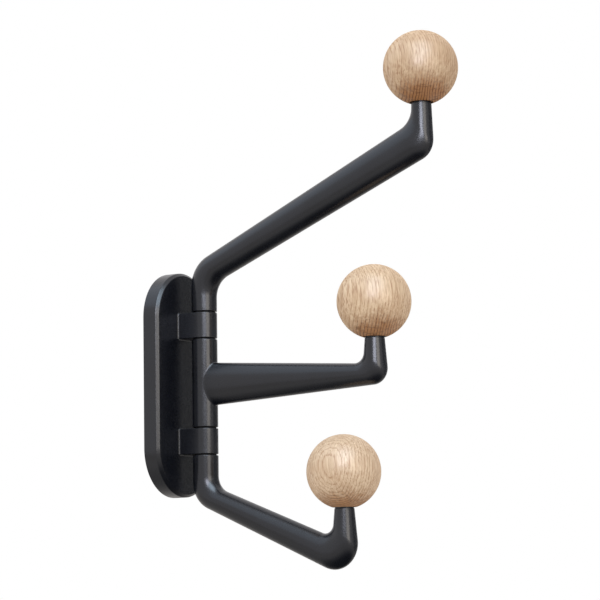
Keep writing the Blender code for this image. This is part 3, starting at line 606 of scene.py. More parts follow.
DASHES = Pattern((0.00062, 0.00062, 0.0056), 0.46, 0.22)
DASH_OFFSET = (0.1, 0.2, 0.3)
DASH_PATCHES = Pattern((0.007, 0.007, 0.015), 0.42, 0.64, 0.9)
PALE_COLOUR = (0.75, 0.555, 0.360)
WARM_COLOUR = (0.64, 0.455, 0.282)
STREAK_COLOUR = (0.38, 0.195, 0.095)
TINT_COLOUR = (0.52, 0.32, 0.18)
PORE_COLOUR = (0.29, 0.125, 0.052)
RING_STRENGTH = 0.62
PORE_STRENGTH = 0.62
# End grain at the ball's bottom: its tones and heights also paint shade there, darker downwards
END_GRAIN_AND_SHADE_TONES = ((0.40, 0.185, 0.072), (0.070, 0.018, 0.004))
END_GRAIN_AND_SHADE_HEIGHTS = (-0.0172, -0.0258)
END_GRAIN_AND_SHADE_RAGGEDNESS = -0.009
OAK_GLOSS = (0.39, 0.60)
OAK_RIM = (0.35, 0.75, 0.9)
FIBRE_RELIEF = (0.00002, 0.5)
PORE_RELIEF = (0.000025, 0.8)
# Ranges of a value, and what they are mapped to: veins by early wood, and how the wood's lines
# break up the rings on the ball's sides and in the end grain at its bottom, which is partly painted shade
VEINS_IN_EARLY_WOOD = (0.0, 0.9, 0.10, 0.85)
BROKEN_RINGS = (0.38, 0.58, 0.15, 1.0)
END_GRAIN_RINGS = (0.30, 0.50, 0.55, 1.0)

# The last value of each ball is how far its bottom browns and darkens, partly painted shade
WOODS = {
    "top": dict(
        lean=(0.26, 0.24, 0.93),
        pith=(0.036, -0.058),
        ring_width=0.0018,
        tone=(0.905, 0.89, 0.87),
        shift=0.213,
        end_brown_and_shade=0.96,
    ),
    "middle": dict(
        lean=(0.21, 0.22, 0.95),
        pith=(0.034, -0.050),
        ring_width=0.0019,
        tone=(1.045, 1.07, 1.085),
        shift=0.371,
        end_brown_and_shade=0.88,
    ),
    "bottom": dict(
        lean=(0.16, 0.12, 0.97),
        pith=(-0.0365, -0.006),
        ring_width=0.0019,
        tone=(1.075, 1.125, 1.19),
        shift=0.539,
        end_brown_and_shade=0.76,
    ),
}


def oak(name, lean, pith, ring_width, tone, shift, end_brown_and_shade):
    """Lacquered oak: yearly rings round a pith outside the ball, fibres, pores, and a bottom of end grain and
    painted shade.

    Lean is the direction of the fibres, and pith is the rings' middle, across them. Tone
    multiplies the colours, shift is the place along the log, and the last argument is how far the
    bottom browns and darkens, partly as end grain and partly as painted shade.
    """
    shader = Shader(name)
    turn = Vector(lean).rotation_difference(Vector((0, 0, 1))).to_euler()
    inputs = {"Vector": shader.place(), "Rotation": turn}
    place = shader.add("ShaderNodeMapping", inputs).outputs["Vector"]
    x, y, z = shader.parts(shader.vector("SUBTRACT", place, (*pith, 0)))
    out = shader.length(x, y)
    inputs = {
        "X": shader.maths("MULTIPLY", shader.maths("ARCTAN2", y, x), RING_ARC_RADIUS),
        "Y": out,
        "Z": shader.maths("ADD", z, shift),
    }
    log = shader.add("ShaderNodeCombineXYZ", inputs).outputs["Vector"]

    warped = shader.maths("MULTIPLY_ADD", shader.noise(log, SWAY), SWAY_REACH, out)
    warped = shader.maths("MULTIPLY_ADD", shader.noise(log, WAVER), WAVER_REACH, warped)
    ring = shader.maths("FRACT", shader.maths("DIVIDE", warped, ring_width))
    fall = shader.span(ring, *EARLY_WOOD_FALL)
    early = shader.maths("MULTIPLY", shader.span(ring, *EARLY_WOOD_RISE), fall)

    band = shader.noise(log, BANDS)
    line = shader.noise(log, LINES)
    fibre = shader.noise(log, FIBRES)
    vessels = shader.marks(shader.cells(log, VESSELS), VESSELS)
    vein = shader.maths("MULTIPLY", vessels, shader.span(early, *VEINS_IN_EARLY_WOOD))
    dashes = shader.marks(shader.cells(shader.vector("ADD", log, DASH_OFFSET), DASHES), DASHES)
    patches = shader.marks(shader.noise(log, DASH_PATCHES), DASH_PATCHES)
    pore = shader.maths("MAXIMUM", vein, shader.maths("MULTIPLY", dashes, patches))
    broken = shader.maths("MULTIPLY", early, shader.span(line, *BROKEN_RINGS))

    colours = (PALE_COLOUR, WARM_COLOUR, STREAK_COLOUR)
    pale, warm, streak = ([a * b for a, b in zip(tone, colour)] for colour in colours)
    colour = shader.mix(shader.marks(band, BANDS), pale, warm)
    colour = shader.mix(shader.marks(line, LINES), colour, streak)
    colour = shader.mix(shader.marks(fibre, FIBRES), colour, streak)
    colour = shader.mix(shader.maths("MULTIPLY", broken, RING_STRENGTH), colour, streak)
    colour = shader.mix(shader.marks(shader.noise(log, TINTS), TINTS), colour, TINT_COLOUR)
    colour = shader.mix(shader.maths("MULTIPLY", pore, PORE_STRENGTH), colour, PORE_COLOUR)

    ringed = shader.maths("MULTIPLY", early, shader.span(line, *END_GRAIN_RINGS))
    crossed = shader.maths("MAXIMUM", ringed, shader.marks(shader.noise(log, RAYS), RAYS))
    # The ball darkens towards its bottom: end grain, deepened with painted shade
    ragged = shader.maths("MULTIPLY_ADD", band, END_GRAIN_AND_SHADE_RAGGEDNESS, z)
    end_grain_and_shade = shader.span(ragged, *END_GRAIN_AND_SHADE_HEIGHTS, 0.0, end_brown_and_shade)
    colour = shader.mix(end_grain_and_shade, colour, shader.mix(crossed, *END_GRAIN_AND_SHADE_TONES))

    roughness = shader.dull_rim(shader.span(pore, 0.0, 1.0, *OAK_GLOSS), *OAK_RIM)
    normal = shader.bump(fibre, *FIBRE_RELIEF)
    sunk = shader.maths("MULTIPLY", shader.maths("MAXIMUM", pore, broken), -1.0)
    normal = shader.bump(sunk, *PORE_RELIEF, normal)
    return shader.finish(Base_Color=colour, Roughness=roughness, Normal=normal)


ZINC_LINES = Pattern((0.0002, 0.0002, 0.02), detail=3.0, roughness=0.6)
ZINC_CLOUD = Pattern(0.006, detail=3.0, roughness=0.6)
ZINC_RUBS = Pattern((0.004, 0.004, 0.0006), 0.62, 0.75, 0.35, roughness=0.6)
ZINC_TONES = ((0.58, 0.585, 0.59), (0.50, 0.495, 0.475))
ZINC_RUB_COLOUR = (0.40, 0.395, 0.38)
ZINC_GLOSS = (0.26, 0.38)
ZINC_CLOUD_GLOSS = (-0.03, 0.04)
ZINC_RELIEF = (0.000004, 0.4)


def zinc_plate():
    """Zinc-plated steel: drawn lines, cloudy passivation and a few rub marks."""
    shader = Shader("zinc_plated_steel")
    place = shader.place()
    drawn = shader.noise(place, ZINC_LINES)
    cloud = shader.noise(place, ZINC_CLOUD)
    rubs = shader.marks(shader.noise(place, ZINC_RUBS), ZINC_RUBS)
    colour = shader.mix(shader.marks(cloud, ZINC_CLOUD), *ZINC_TONES)
    colour = shader.mix(rubs, colour, ZINC_RUB_COLOUR)
    gloss = shader.span(drawn, *NOISE_REACH, *ZINC_GLOSS)
    roughness = shader.maths("ADD", gloss, shader.span(cloud, *NOISE_REACH, *ZINC_CLOUD_GLOSS))
    normal = shader.bump(drawn, *ZINC_RELIEF)
    return shader.finish(Base_Color=colour, Roughness=roughness, Normal=normal, Metallic=1.0)


BRASS_LINES = Pattern((0.004, 0.004, 0.00018), detail=3.0, roughness=0.6)
BRASS_TARNISH = Pattern(0.003, 0.4, 0.7, detail=3.0, roughness=0.6)
BRASS_TONES = ((0.72, 0.53, 0.25), (0.52, 0.35, 0.15))
BRASS_GLOSS = (0.27, 0.40)
BRASS_RELIEF = (0.000005, 0.5)


def brass():
    """Turned brass: fine tool lines and slight tarnish."""
    shader = Shader("brass")
    place = shader.place()
    tool_lines = shader.noise(place, BRASS_LINES)
    tarnish = shader.marks(shader.noise(place, BRASS_TARNISH), BRASS_TARNISH)
    colour = shader.mix(tarnish, *BRASS_TONES)
    roughness = shader.span(tool_lines, *NOISE_REACH, *BRASS_GLOSS)
    normal = shader.bump(tool_lines, *BRASS_RELIEF)
    return shader.finish(Base_Color=colour, Roughness=roughness, Normal=normal, Metallic=1.0)


POLYMER_GRAIN = Pattern(0.00025, detail=3.0, roughness=0.6)
POLYMER_CLOUD = Pattern(0.004)
POLYMER_TONES = ((0.008, 0.008, 0.009), (0.012, 0.012, 0.012))
POLYMER_GLOSS = (0.56, 0.70)
POLYMER_RELIEF = (0.00001, 0.6)


def polymer():
    """Black moulded bearing polymer with a fine matt texture."""
    shader = Shader("black_polymer")
    place = shader.place()
    grain = shader.noise(place, POLYMER_GRAIN)
    cloud = shader.marks(shader.noise(place, POLYMER_CLOUD), POLYMER_CLOUD)
    return shader.finish(
        Base_Color=shader.mix(cloud, *POLYMER_TONES),
        Roughness=shader.span(grain, *NOISE_REACH, *POLYMER_GLOSS),
        Normal=shader.bump(grain, *POLYMER_RELIEF),
        Specular_IOR_Level=0.2,
    )


FLOOR_CLOUD = Pattern(0.5)
FLOOR_TONES = ((0.68, 0.64, 0.59), (0.71, 0.67, 0.62))
FLOOR_LIFT = 0.22


def floor_paint():
    """Pale, faintly cloudy floor, lifted for the camera alone and clear from below."""
    shader = Shader("pale_floor")
    seen = shader.add("ShaderNodeLightPath", {}).outputs["Is Camera Ray"]
    shader.finish(
        Base_Color=shader.mix(shader.noise(shader.place(), FLOOR_CLOUD), *FLOOR_TONES),
        Roughness=0.9,
        Specular_IOR_Level=0.1,
        Emission_Color=(*WHITE, 1),
        Emission_Strength=shader.maths("MULTIPLY", seen, FLOOR_LIFT),
    )
    clear = shader.add("ShaderNodeBsdfTransparent", {}).outputs["BSDF"]
    below = shader.add("ShaderNodeNewGeometry", {}).outputs["Backfacing"]
    sides = {0: below, 1: shader.surface.outputs["BSDF"], 2: clear}
    result = shader.add("ShaderNodeMixShader", sides).outputs["Shader"]
    shader.feed(shader.tree.nodes["Material Output"].inputs["Surface"], result)
    return shader.material


CARD_FLUFF = Pattern(0.002)
CARD_FLUFF_SHARES = (0.9, 1.1)
CARD_EDGE_COLOUR = (0.70, 0.66, 0.61)


def card_felt(name, tone, core, fade):
    """Felt of a card: even in its core, then fading into the floor."""
    shader = Shader(name)
    place = shader.place()
    x, y = shader.parts(place)[:2]
    felts = [(share * tone,) * 3 for share in CARD_FLUFF_SHARES]
    felt = shader.mix(shader.noise(place, CARD_FLUFF), *felts)
    colour = shader.mix(shader.span(shader.length(y, x), core, fade), felt, CARD_EDGE_COLOUR)
    return shader.finish(Base_Color=colour, Roughness=1.0, Specular_IOR_Level=0.0)


# Plate and lugs


def stadium(radius, half_run, low, high):
    """Upright stadium outline of (x, z) points, cut level at the heights low and high."""
    steps = END_ARC_STEPS // 2
    top_angle = math.asin(min((high - half_run) / radius, 1))
    bottom_angle = -math.asin(min((-low - half_run) / radius, 1))
    top = [top_angle * step / steps for step in range(steps + 1)]
    bottom = [bottom_angle * (steps - step) / steps for step in range(steps + 1)]
    right = [(radius * math.cos(turn), radius * math.sin(turn) - half_run) for turn in bottom]
    right += [(radius * math.cos(turn), radius * math.sin(turn) + half_run) for turn in top]
    return right + [(-x, z) for x, z in reversed(right)]


def drum(radius, half_run, low, high, near_y, far_y):
    """Stadium-shaped block between two depths."""
    outline = stadium(radius, half_run, low, high)
    return joined_loft([[(x, y, z) for x, z in outline] for y in (near_y, far_y)])


def plate_body(half_run):
    """Plate without its cuts: rings from its rear round its side and chamfer to its front."""
    corners = [
        (PLATE_CHAMFER, 0),
        (0, 0),
        (0, PLATE_THICKNESS - PLATE_CHAMFER),
        (PLATE_CHAMFER, PLATE_THICKNESS),
        (2 * PLATE_CHAMFER, PLATE_THICKNESS),
    ]
    radii = (PLATE_REAR_ROUND, PLATE_CHAMFER_ROUND, PLATE_CHAMFER_ROUND)
    path = rounded_path([np.array(corner) for corner in corners], radii, (1, 1, 1, 1), RIM_STEPS)
    rings = []
    for inset, depth in path:
        radius = PLATE_WIDTH / 2 - inset
        outline = stadium(radius, half_run, -half_run - radius, half_run + radius)
        rings.append([(x, -depth, z) for x, z in outline])
    return joined_loft(rings)


def lug_seat():
    """Raised seat for a lug that sweeps down to the plate's front in a hollow round."""
    sweep = [(0, 0)] + [(1 - math.cos(turn), math.sin(turn)) for turn in quarter_turns()]
    rings = []
    for rise, share in [(-1, 0), *sweep]:
        spread = LUG_SEAT_RISE * (1 - share)
        radius = EDGE_ROUND + spread
        y = -PLATE_THICKNESS - LUG_SEAT_RISE * rise + LUG_SEAT_SINK
        points = []
        for corner, (side, end) in enumerate(((1, 1), (-1, 1), (-1, -1), (1, -1))):
            for turn in [0, *quarter_turns()]:
                heading = turn + corner * math.pi / 2
                x = side * (BARREL_RADIUS - EDGE_ROUND) + radius * math.cos(heading)
                z = end * (LUG_HEIGHT / 2 - EDGE_ROUND) + radius * math.sin(heading)
                points.append((x, y, z))
        rings.append(points)
    return loft(rings)


def countersink():
    """Hole for a lug screw, through the plate's front wall and the lug's seat."""
    head = LUG_SCREW_HEAD_DIAMETER / 2 + SEAT_GAP
    shank = LUG_SCREW_DIAMETER / 2 + RUNNING_GAP
    bottom = -(PLATE_FRONT_WALL + LUG_SEAT_RISE + CUT_OVERRUN)
    profile = [
        (0, CUT_OVERRUN),
        (head, CUT_OVERRUN),
        (head, -LUG_SCREW_HEAD_RIM),
        (shank, -(LUG_SCREW_HEAD_RIM + head - shank)),
        (shank, bottom),
        (0, bottom),
    ]
    return turned(profile, SCREW_SEGMENTS)


def add_plate(material):
    """Back plate with rounded chamfer edges, its lug seats, hollow back and screw holes."""
    half_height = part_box("back_plate")[1].z
    radius = PLATE_WIDTH / 2
    half_run = half_height - radius
    plate = add_object("back_plate_cast", plate_body(half_run))
    for lug in LUGS:
        low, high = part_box(lug)
        boolean(plate, "seat", lug_seat(), "UNION", location=(0, 0, (low.z + high.z) / 2))

    recess_top = half_height - RECESS_TOP_MARGIN
    recess_bottom = RECESS_BOTTOM_MARGIN - half_height
    inner = radius - PLATE_RIM
    recess = drum(inner, half_run, recess_bottom, recess_top, CUT_OVERRUN, -RECESS_DEPTH)
    boolean(plate, "recess", recess)
    half_pocket = BRACKET_WIDTH / 2 + SEAT_GAP
    low, high = recess_top - CUT_OVERRUN, recess_top + HOOK_POCKET_HEIGHT
    corners = [(-half_pocket, low), (half_pocket, low), (half_pocket, high), (-half_pocket, high)]
    near = -HOOK_LIP_THICKNESS
    far = near - BRACKET_THICKNESS - 2 * SEAT_GAP
    boolean(plate, "pocket", loft([[(x, y, z) for x, z in corners] for y in (near, far)]))

    low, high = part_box("plate_lock_screw")
    lock_radius = LOCK_SCREW_DIAMETER / 2 + RUNNING_GAP
    lock = hole(lock_radius, RECESS_BOTTOM_MARGIN + CUT_OVERRUN, -CUT_OVERRUN)
    boolean(plate, "lock_hole", lock, location=(0, (low.y + high.y) / 2, -half_height))
    for lug in LUGS:
        for end in ("top", "bottom"):
            low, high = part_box(f"{lug}_screw_{end}")
            place = (0, -RECESS_DEPTH, (low.z + high.z) / 2)
            boolean(plate, "screw_hole", countersink(), location=place, rotation=FACING_WALL)
    finish_piece(plate, "wall_unit", "powder_coat", material, "back_plate")


def add_lug(name, material):
    """D-shaped lug with a round nose about the axle, from seat to nose."""
    low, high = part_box(name)
    centre = (low.z + high.z) / 2
    rear = -PLATE_THICKNESS - LUG_SEAT_RISE - AXIS_Y
    half = LUG_HEIGHT / 2
    rim = [(1 - math.sin(turn), 1 - math.cos(turn)) for turn in (0, *quarter_turns())]
    upper = [(half - EDGE_ROUND * drop, EDGE_ROUND * inset) for drop, inset in rim]
    stack = [(-height, inset) for height, inset in reversed(upper)] + upper
    turns = [-math.pi * step / NOSE_STEPS for step in range(NOSE_STEPS + 1)]
    rings = []
    for height, inset in stack:
        radius = BARREL_RADIUS - inset
        outline = [(radius * math.cos(turn), radius * math.sin(turn)) for turn in turns]
        outline += [(-radius, rear), (radius, rear)]
        rings.append([(x, y, height) for x, y in outline])
    lug = add_object(f"{name}_cast", loft(rings), location=(0, AXIS_Y, centre))
    bore = hole(AXLE_SEAT_RADIUS, LUG_HEIGHT, -LUG_HEIGHT)
    boolean(lug, "bore", bore, location=(0, AXIS_Y, centre))
    depth = LUG_SCREW_LENGTH - PLATE_FRONT_WALL - LUG_SEAT_RISE + LUG_HOLE_SPARE
    for end in ("top", "bottom"):
        low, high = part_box(f"{name}_screw_{end}")
        place = (0, AXIS_Y + rear, (low.z + high.z) / 2)
        shape = hole(LUG_SCREW_DIAMETER / 2 + RUNNING_GAP, CUT_OVERRUN, -depth)
        boolean(lug, "screw_hole", shape, location=place, rotation=FACING_WALL)
    finish_piece(lug, "wall_unit", "powder_coat", material, name)


# Arms


def arm_side_view(form, reach, ball_height, barrel_end):
    """Matched points along the over side and the under side of an arm, as (out, up)."""
    tangent = math.tan(math.radians(form.slope))
    steepness = math.hypot(1, tangent)
    root_height = barrel_end + form.root_rise
    end_height = root_height + reach * tangent
    flare = math.tan(math.radians(form.neck_flare))
    top = ball_height - BALL_RIM_DROP - NECK_SHADOW_GAP - EDGE_ROUND + NECK_RISE
    neck_radius = NECK_RADIUS - NECK_RISE * flare
    sides = []
    for side, radii in ((1, form.over_radii), (-1, form.under_radii)):
        root = np.array((0, root_height + side * form.root_half_depth * steepness))
        end = np.array((reach, end_height + side * form.elbow_half_depth * steepness))
        neck = np.array((reach - side * neck_radius, top))
        elbow = crossing(root, end - root, neck, np.array((-side * flare, -1)))
        if form.barrel_side:
            facing = -side * form.barrel_side
            start = np.array((facing * BARREL_RADIUS, barrel_end + form.barrel_side * EDGE_ROUND))
            bend = crossing(start, np.array((0, 1)), root, end - root)
            corners = [start, bend, elbow, neck]
            spans = (RIM_STEPS, ARM_RUN_STEPS, NECK_STEPS)
        else:
            corners = [root, elbow, neck]
            spans = (ARM_RUN_STEPS, NECK_STEPS)
        sides.append(rounded_path(corners, radii, spans, ARC_STEPS))
    return sides


def arm_half_widths(form, half_depths):
    """Sideways half width at each station: root to elbow, then round like the neck."""
    run_start = ARC_STEPS + RIM_STEPS if form.barrel_side else 0
    run_end = run_start + ARM_RUN_STEPS
    elbow_end = run_end + ARC_STEPS
    neck_base = half_depths[elbow_end]
    growth = form.elbow_half_width - form.root_half_width
    widths = []
    for station, half_depth in enumerate(half_depths):
        if station <= run_start:
            widths.append(form.root_half_width)
        elif station <= run_end:
            share = (station - run_start) / (run_end - run_start)
            widths.append(form.root_half_width + growth * share)
        elif station <= elbow_end:
            share = (station - run_end) / (elbow_end - run_end)
            ease = (1 - math.cos(math.pi * share)) / 2
            widths.append(form.elbow_half_width + (neck_base - form.elbow_half_width) * ease)
        else:
            widths.append(half_depth)
    return widths


def arm_rings(form, reach, ball_height, barrel_end):
    """Elliptical rings along an arm, then its shoulder, its spigot and the stud's blind hole."""
    over, under = arm_side_view(form, reach, ball_height, barrel_end)
    spans = [(a - b) / 2 for a, b in zip(over, under)]
    widths = arm_half_widths(form, [float(abs(span[0])) for span in spans])
    turns = [math.tau * step / ARM_SEGMENTS for step in range(ARM_SEGMENTS)]
    rings = []
    for a, b, span, width in zip(over, under, spans, widths):
        centre = (a + b) / 2
        points = [(width * math.sin(turn), *(centre + span * math.cos(turn))) for turn in turns]
        rings.append([Vector((x, -out, up)) for x, out, up in points])
    neck = rings[-1]
    sizes = []
    for turn in quarter_turns():
        radius = widths[-1] - EDGE_ROUND * (1 - math.cos(turn))
        sizes.append((radius, neck[0].z + EDGE_ROUND * math.sin(turn)))
    spigot_top = ball_height - BALL_SEAT_DROP - SEAT_GAP
    hole_radius = STUD_DIAMETER / 2 + RUNNING_GAP
    sizes += [
        (NECK_SPIGOT_RADIUS, neck[0].z + EDGE_ROUND),
        (NECK_SPIGOT_RADIUS, spigot_top),
        (hole_radius, spigot_top),
        (hole_radius, spigot_top - STUD_HALF_LENGTH - STUD_HOLE_SPARE),
    ]
    return rings + level_rings(neck, sizes)


def bore_rings(ring, barrel_end, side):
    """Rings from the blind end of an outer arm's bore out to its mouth and round its rim."""
    seat_end = barrel_end + side * (BUSH_LENGTH + SEAT_GAP)
    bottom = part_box("axle")[1].z + CUT_OVERRUN
    sizes = [
        (AXLE_HOLE_RADIUS, side * bottom),
        (AXLE_HOLE_RADIUS, seat_end),
        (BUSH_SEAT_RADIUS, seat_end),
        (BUSH_SEAT_RADIUS, barrel_end),
    ]
    for turn in reversed(quarter_turns()):
        radius = BARREL_RADIUS - EDGE_ROUND * (1 - math.cos(turn))
        sizes.append((radius, barrel_end + side * EDGE_ROUND * (1 - math.sin(turn))))
    return level_rings(ring, sizes)


def add_outer_arm(name, form, reach, ball_height, material):
    """Top or bottom arm: one casting from its bore to its neck."""
    node = f"{name}_arm"
    low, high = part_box(node)
    side = form.barrel_side
    barrel_end = low.z if side > 0 else high.z
    rings = arm_rings(form, reach, ball_height, barrel_end)
    rings = bore_rings(rings[0], barrel_end, side) + rings
    arm = add_object(f"{node}_cast", loft(rings), location=(0, AXIS_Y, 0))
    low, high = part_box(f"{node}_screw")
    radius = ARM_SCREW_DIAMETER / 2 + RUNNING_GAP
    screw = hole(radius, BARREL_RADIUS + CUT_OVERRUN, AXLE_HOLE_RADIUS / 2)
    place = (0, AXIS_Y, (low.z + high.z) / 2)
    boolean(arm, "screw_hole", screw, location=place, rotation=FACING_WALL)
    finish_piece(arm, f"{name}_swivel_arm", "powder_coat", material, node)


def junction_rings(rings):
    """Rings from inside the barrel, through a hollow round on its surface, to the branch."""
    root = np.array([tuple(point) for point in rings[0]])
    ahead = np.array([tuple(point) for point in rings[ARM_RUN_STEPS]]) - root
    flat_root, flat_ahead = root[:, :2], ahead[:, :2]
    a = (flat_ahead**2).sum(axis=1)
    b = (flat_root * flat_ahead).sum(axis=1)
    c = (flat_root**2).sum(axis=1) - BARREL_RADIUS**2
    foot = root + ahead * ((-b + np.sqrt(b**2 - a * c)) / a)[:, None]
    along = np.roll(foot, -1, axis=0) - np.roll(foot, 1, axis=0)
    outward = np.column_stack((foot[:, :2] / BARREL_RADIUS, np.zeros(len(foot))))
    away = np.cross(along, outward)
    away /= np.linalg.norm(away, axis=1)[:, None]
    away *= np.sign(((foot - foot.mean(axis=0)) * away).sum(axis=1))[:, None]
    start = foot + away * JUNCTION_ROUND
    reached = np.linalg.norm(start[:, :2], axis=1)
    start[:, :2] *= ((BARREL_RADIUS - JUNCTION_SINK) / reached)[:, None]
    end = foot + ahead / np.linalg.norm(ahead, axis=1)[:, None] * JUNCTION_ROUND
    inside = start.copy()
    inside[:, :2] *= JUNCTION_START_SHARE
    made = [inside]
    for step in range(JUNCTION_STEPS + 1):
        made.append(soft_corner(start, foot, end, step / JUNCTION_STEPS))
    made = [[Vector(point) for point in ring] for ring in made]
    clear = max(-point.y for point in made[-1]) + JUNCTION_ROUND
    return made + [ring for ring in rings if min(-point.y for point in ring) > clear]


def add_middle_arm(name, form, reach, ball_height, material):
    """Middle arm: a tapering oval arm that branches from its barrel in a hollow round."""
    node = f"{name}_arm"
    low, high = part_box(node)
    end = high.z
    half_wall = end - EDGE_ROUND
    wall = [half_wall * (1 - 2 * step / BARREL_STEPS) for step in range(BARREL_STEPS + 1)]
    rim = []
    for turn in reversed(quarter_turns()):
        radius = BARREL_RADIUS - EDGE_ROUND * (1 - math.cos(turn))
        rim.append((radius, half_wall + EDGE_ROUND * math.sin(turn)))
    profile = [(0, end)] + rim + [(BARREL_RADIUS, height) for height in wall]
    profile += [(radius, -height) for radius, height in reversed(rim)] + [(0, -end)]
    arm = add_object(f"{node}_cast", turned(profile, BARREL_SEGMENTS), location=(0, AXIS_Y, 0))
    branch = loft(junction_rings(arm_rings(form, reach, ball_height, 0.0)))
    boolean(arm, "branch", branch, "UNION", location=(0, AXIS_Y, 0))
    seat_end = end - BUSH_LENGTH - SEAT_GAP
    bore = [
        (0, end + CUT_OVERRUN),
        (BUSH_SEAT_RADIUS, end + CUT_OVERRUN),
        (BUSH_SEAT_RADIUS, seat_end),
        (AXLE_HOLE_RADIUS, seat_end),
    ]
    bore += [(radius, -height) for radius, height in reversed(bore)]
    boolean(arm, "bore", turned(bore, SCREW_SEGMENTS), location=(0, AXIS_Y, 0))
    finish_piece(arm, f"{name}_swivel_arm", "powder_coat", material, node)


# Balls


def ball_profile():
    """Turned ball from its top down its outer side, with the neck's recess and insert hole."""
    sweep = math.pi - math.asin((BALL_RECESS_RADIUS + BALL_RIM_ROUND) / BALL_RADIUS)
    turns = [sweep * step / BALL_ARC_STEPS for step in range(BALL_ARC_STEPS + 1)]
    profile = [(BALL_RADIUS * math.sin(turn), BALL_RADIUS * math.cos(turn)) for turn in turns]
    start = np.array(profile[-1])
    end = np.array((BALL_RECESS_RADIUS, BALL_RIM_ROUND - BALL_RIM_DROP))
    corner = np.array((BALL_RECESS_RADIUS, -BALL_RIM_DROP))
    for step in range(1, RIM_STEPS + 1):
        profile.append(tuple(soft_corner(start, corner, end, step / RIM_STEPS)))
    hole_top = INSERT_LENGTH + SEAT_GAP - BALL_SEAT_DROP
    return profile + [
        (BALL_RECESS_RADIUS, -BALL_SEAT_DROP),
        (INSERT_HOLE_RADIUS, -BALL_SEAT_DROP),
        (INSERT_HOLE_RADIUS, hole_top),
        (0, hole_top),
    ]


def add_ball(name, centre, material):
    """Turned ball at the end of an arm."""
    shape = turned(ball_profile(), BALL_SEGMENTS)
    ball = add_object(f"{name}_ball_turned", shape, location=centre)
    finish_piece(ball, f"{name}_swivel_arm", "oak", material, f"{name}_ball")


# Stage


def bearing(azimuth, elevation):
    """Direction away from the rack at an azimuth and an elevation, in degrees."""
    a, e = math.radians(azimuth), math.radians(elevation)
    return Vector((math.sin(a) * math.cos(e), -math.cos(a) * math.cos(e), math.sin(e)))


def aimed(azimuth, elevation, distance, target):
    """Place at an azimuth and elevation from a target, and the turn that looks back at it."""
    out = bearing(azimuth, elevation)
    return target + out * distance, out.to_track_quat("Z", "Y").to_euler()


def set_camera():
    """Camera at the photograph's viewing angle, and colours shown as they are."""
    azimuth, roll = math.radians(CAMERA_AZIMUTH), math.radians(CAMERA_ROLL)
    back = bearing(CAMERA_AZIMUTH, CAMERA_ELEVATION)
    level = Vector((math.cos(azimuth), math.sin(azimuth), 0))
    over = back.cross(level)
    right = level * math.cos(roll) + over * math.sin(roll)
    up = over * math.cos(roll) - level * math.sin(roll)
    camera = bpy.data.cameras.new("camera")
    camera.sensor_width = CAMERA_SENSOR
    camera.lens = CAMERA_LENS
    camera.clip_start = CAMERA_CLIP_START
    item = link_object("camera", camera)
    item.matrix_world = Matrix((right, up, back)).transposed().to_4x4()
    item.matrix_world.translation = CAMERA_PLACE
    bpy.context.scene.camera = item
    bpy.context.scene.view_settings.view_transform = "Standard"


def add_softbox(name, box, target):
    """Lamp of a softbox, facing a target."""
    lamp = bpy.data.lights.new(name, "AREA")
    lamp.shape = "RECTANGLE"
    lamp.size, lamp.size_y = box.size
    lamp.energy = box.power
    lamp.color = box.colour
    item = link_object(name, lamp, *aimed(*box.place, target))
    item.visible_diffuse = box.lights_matt
    item.visible_glossy = box.lights_gloss


def add_sheet(name, width, height, material, location, rotation=(0, 0, 0)):
    """Flat stage sheet."""
    shape = bmesh.new()
    corners = [(-1, -1), (1, -1), (1, 1), (-1, 1)]
    shape.faces.new([shape.verts.new((x * width / 2, y * height / 2, 0)) for x, y in corners])
    item = add_object(name, shape, location, rotation)
    item.data.materials.append(material)
    return item


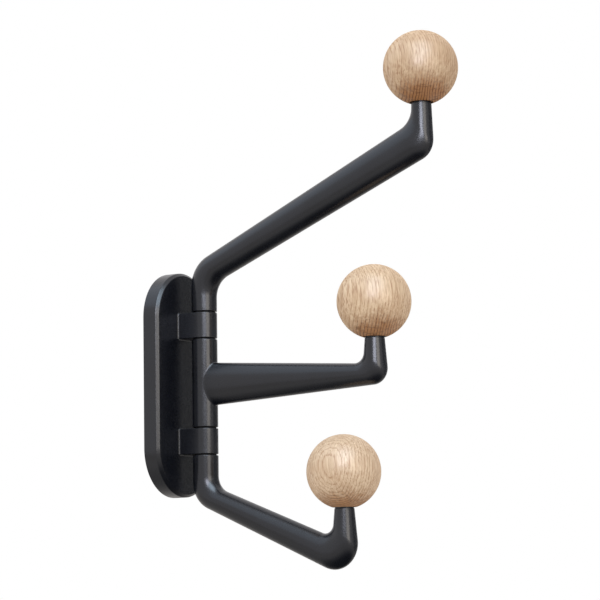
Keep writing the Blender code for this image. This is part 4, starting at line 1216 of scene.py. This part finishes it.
def set_world():
    """White background for the camera, and daylight a little weaker on what is matt."""
    world = bpy.data.worlds.new("studio")
    bpy.context.scene.world = world
    world.use_nodes = True
    nodes = Nodes(world.node_tree)
    rays = nodes.add("ShaderNodeLightPath", {}).outputs
    seen = nodes.maths("MAXIMUM", rays["Is Camera Ray"], rays["Is Glossy Ray"])
    seen = nodes.maths("MAXIMUM", seen, rays["Is Transmission Ray"])
    backdrop = nodes.tree.nodes["Background"].inputs
    strength = nodes.span(seen, 0.0, 1.0, AMBIENT_STRENGTH, BACKGROUND_STRENGTH)
    nodes.feed(backdrop["Strength"], strength)
    nodes.feed(backdrop["Color"], nodes.mix(rays["Is Camera Ray"], DAYLIGHT_COLOUR, WHITE))


def set_stage():
    """Soft lamps, pale floor and the two cards."""
    low, high = (Vector(corner) for corner in cad_box)
    middle = (low + high) / 2
    for name, box in SOFTBOXES.items():
        add_softbox(name, box, middle)
    place = (middle.x, middle.y, low.z - FLOOR_DROP)
    add_sheet("floor", FLOOR_SIZE, FLOOR_SIZE, floor_paint(), place)

    place, turn = aimed(*RIGHT_CARD_PLACE, middle)
    felt = card_felt("grey_felt", RIGHT_CARD_TONE, RIGHT_CARD_HEIGHT, 2 * RIGHT_CARD_HEIGHT)
    right = add_sheet("card_right", RIGHT_CARD_WIDTH, RIGHT_CARD_HEIGHT, felt, place, turn)
    place = (*LOWER_CARD_PLACE, low.z - LOWER_CARD_DROP)
    felt = card_felt("black_felt", LOWER_CARD_TONE, LOWER_CARD_CORE, LOWER_CARD_FADE)
    lower = add_sheet("card_below", LOWER_CARD_SIZE, LOWER_CARD_SIZE, felt, place)
    for card in (right, lower):
        card.visible_camera = False
        card.visible_shadow = False
        card.visible_diffuse = False


def dress_rack():
    """Finer pieces in place of the castings and balls, and a finish on the nodes that stay."""
    coat = powder_coat()
    finishes = {"powder_coat": coat, "steel": zinc_plate(), "brass": brass(), "polymer": polymer()}
    add_plate(coat)
    for lug in LUGS:
        add_lug(lug, coat)
    for name, wood in WOODS.items():
        low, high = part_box(f"{name}_ball")
        centre = (low + high) / 2
        centre.z = high.z - BALL_RADIUS
        add_ball(name, centre, oak(f"oak_{name}", **wood))
        form = ARM_FORMS[name]
        add_arm = add_outer_arm if form.barrel_side else add_middle_arm
        add_arm(name, form, AXIS_Y - centre.y, centre.z, coat)

    smooth = smoothing_group()
    slots = {row["node"]: row["material_slot"] for row in frame["record"]["subparts"]}
    for name, item in frame["nodes"].items():
        if slots[name] in finishes:
            for slot in item.material_slots:
                slot.material = finishes[slots[name]]
            modifier = item.modifiers.new("smooth_facets", "NODES")
            modifier.node_group = smooth


dress_rack()
set_camera()
set_stage()
set_world()
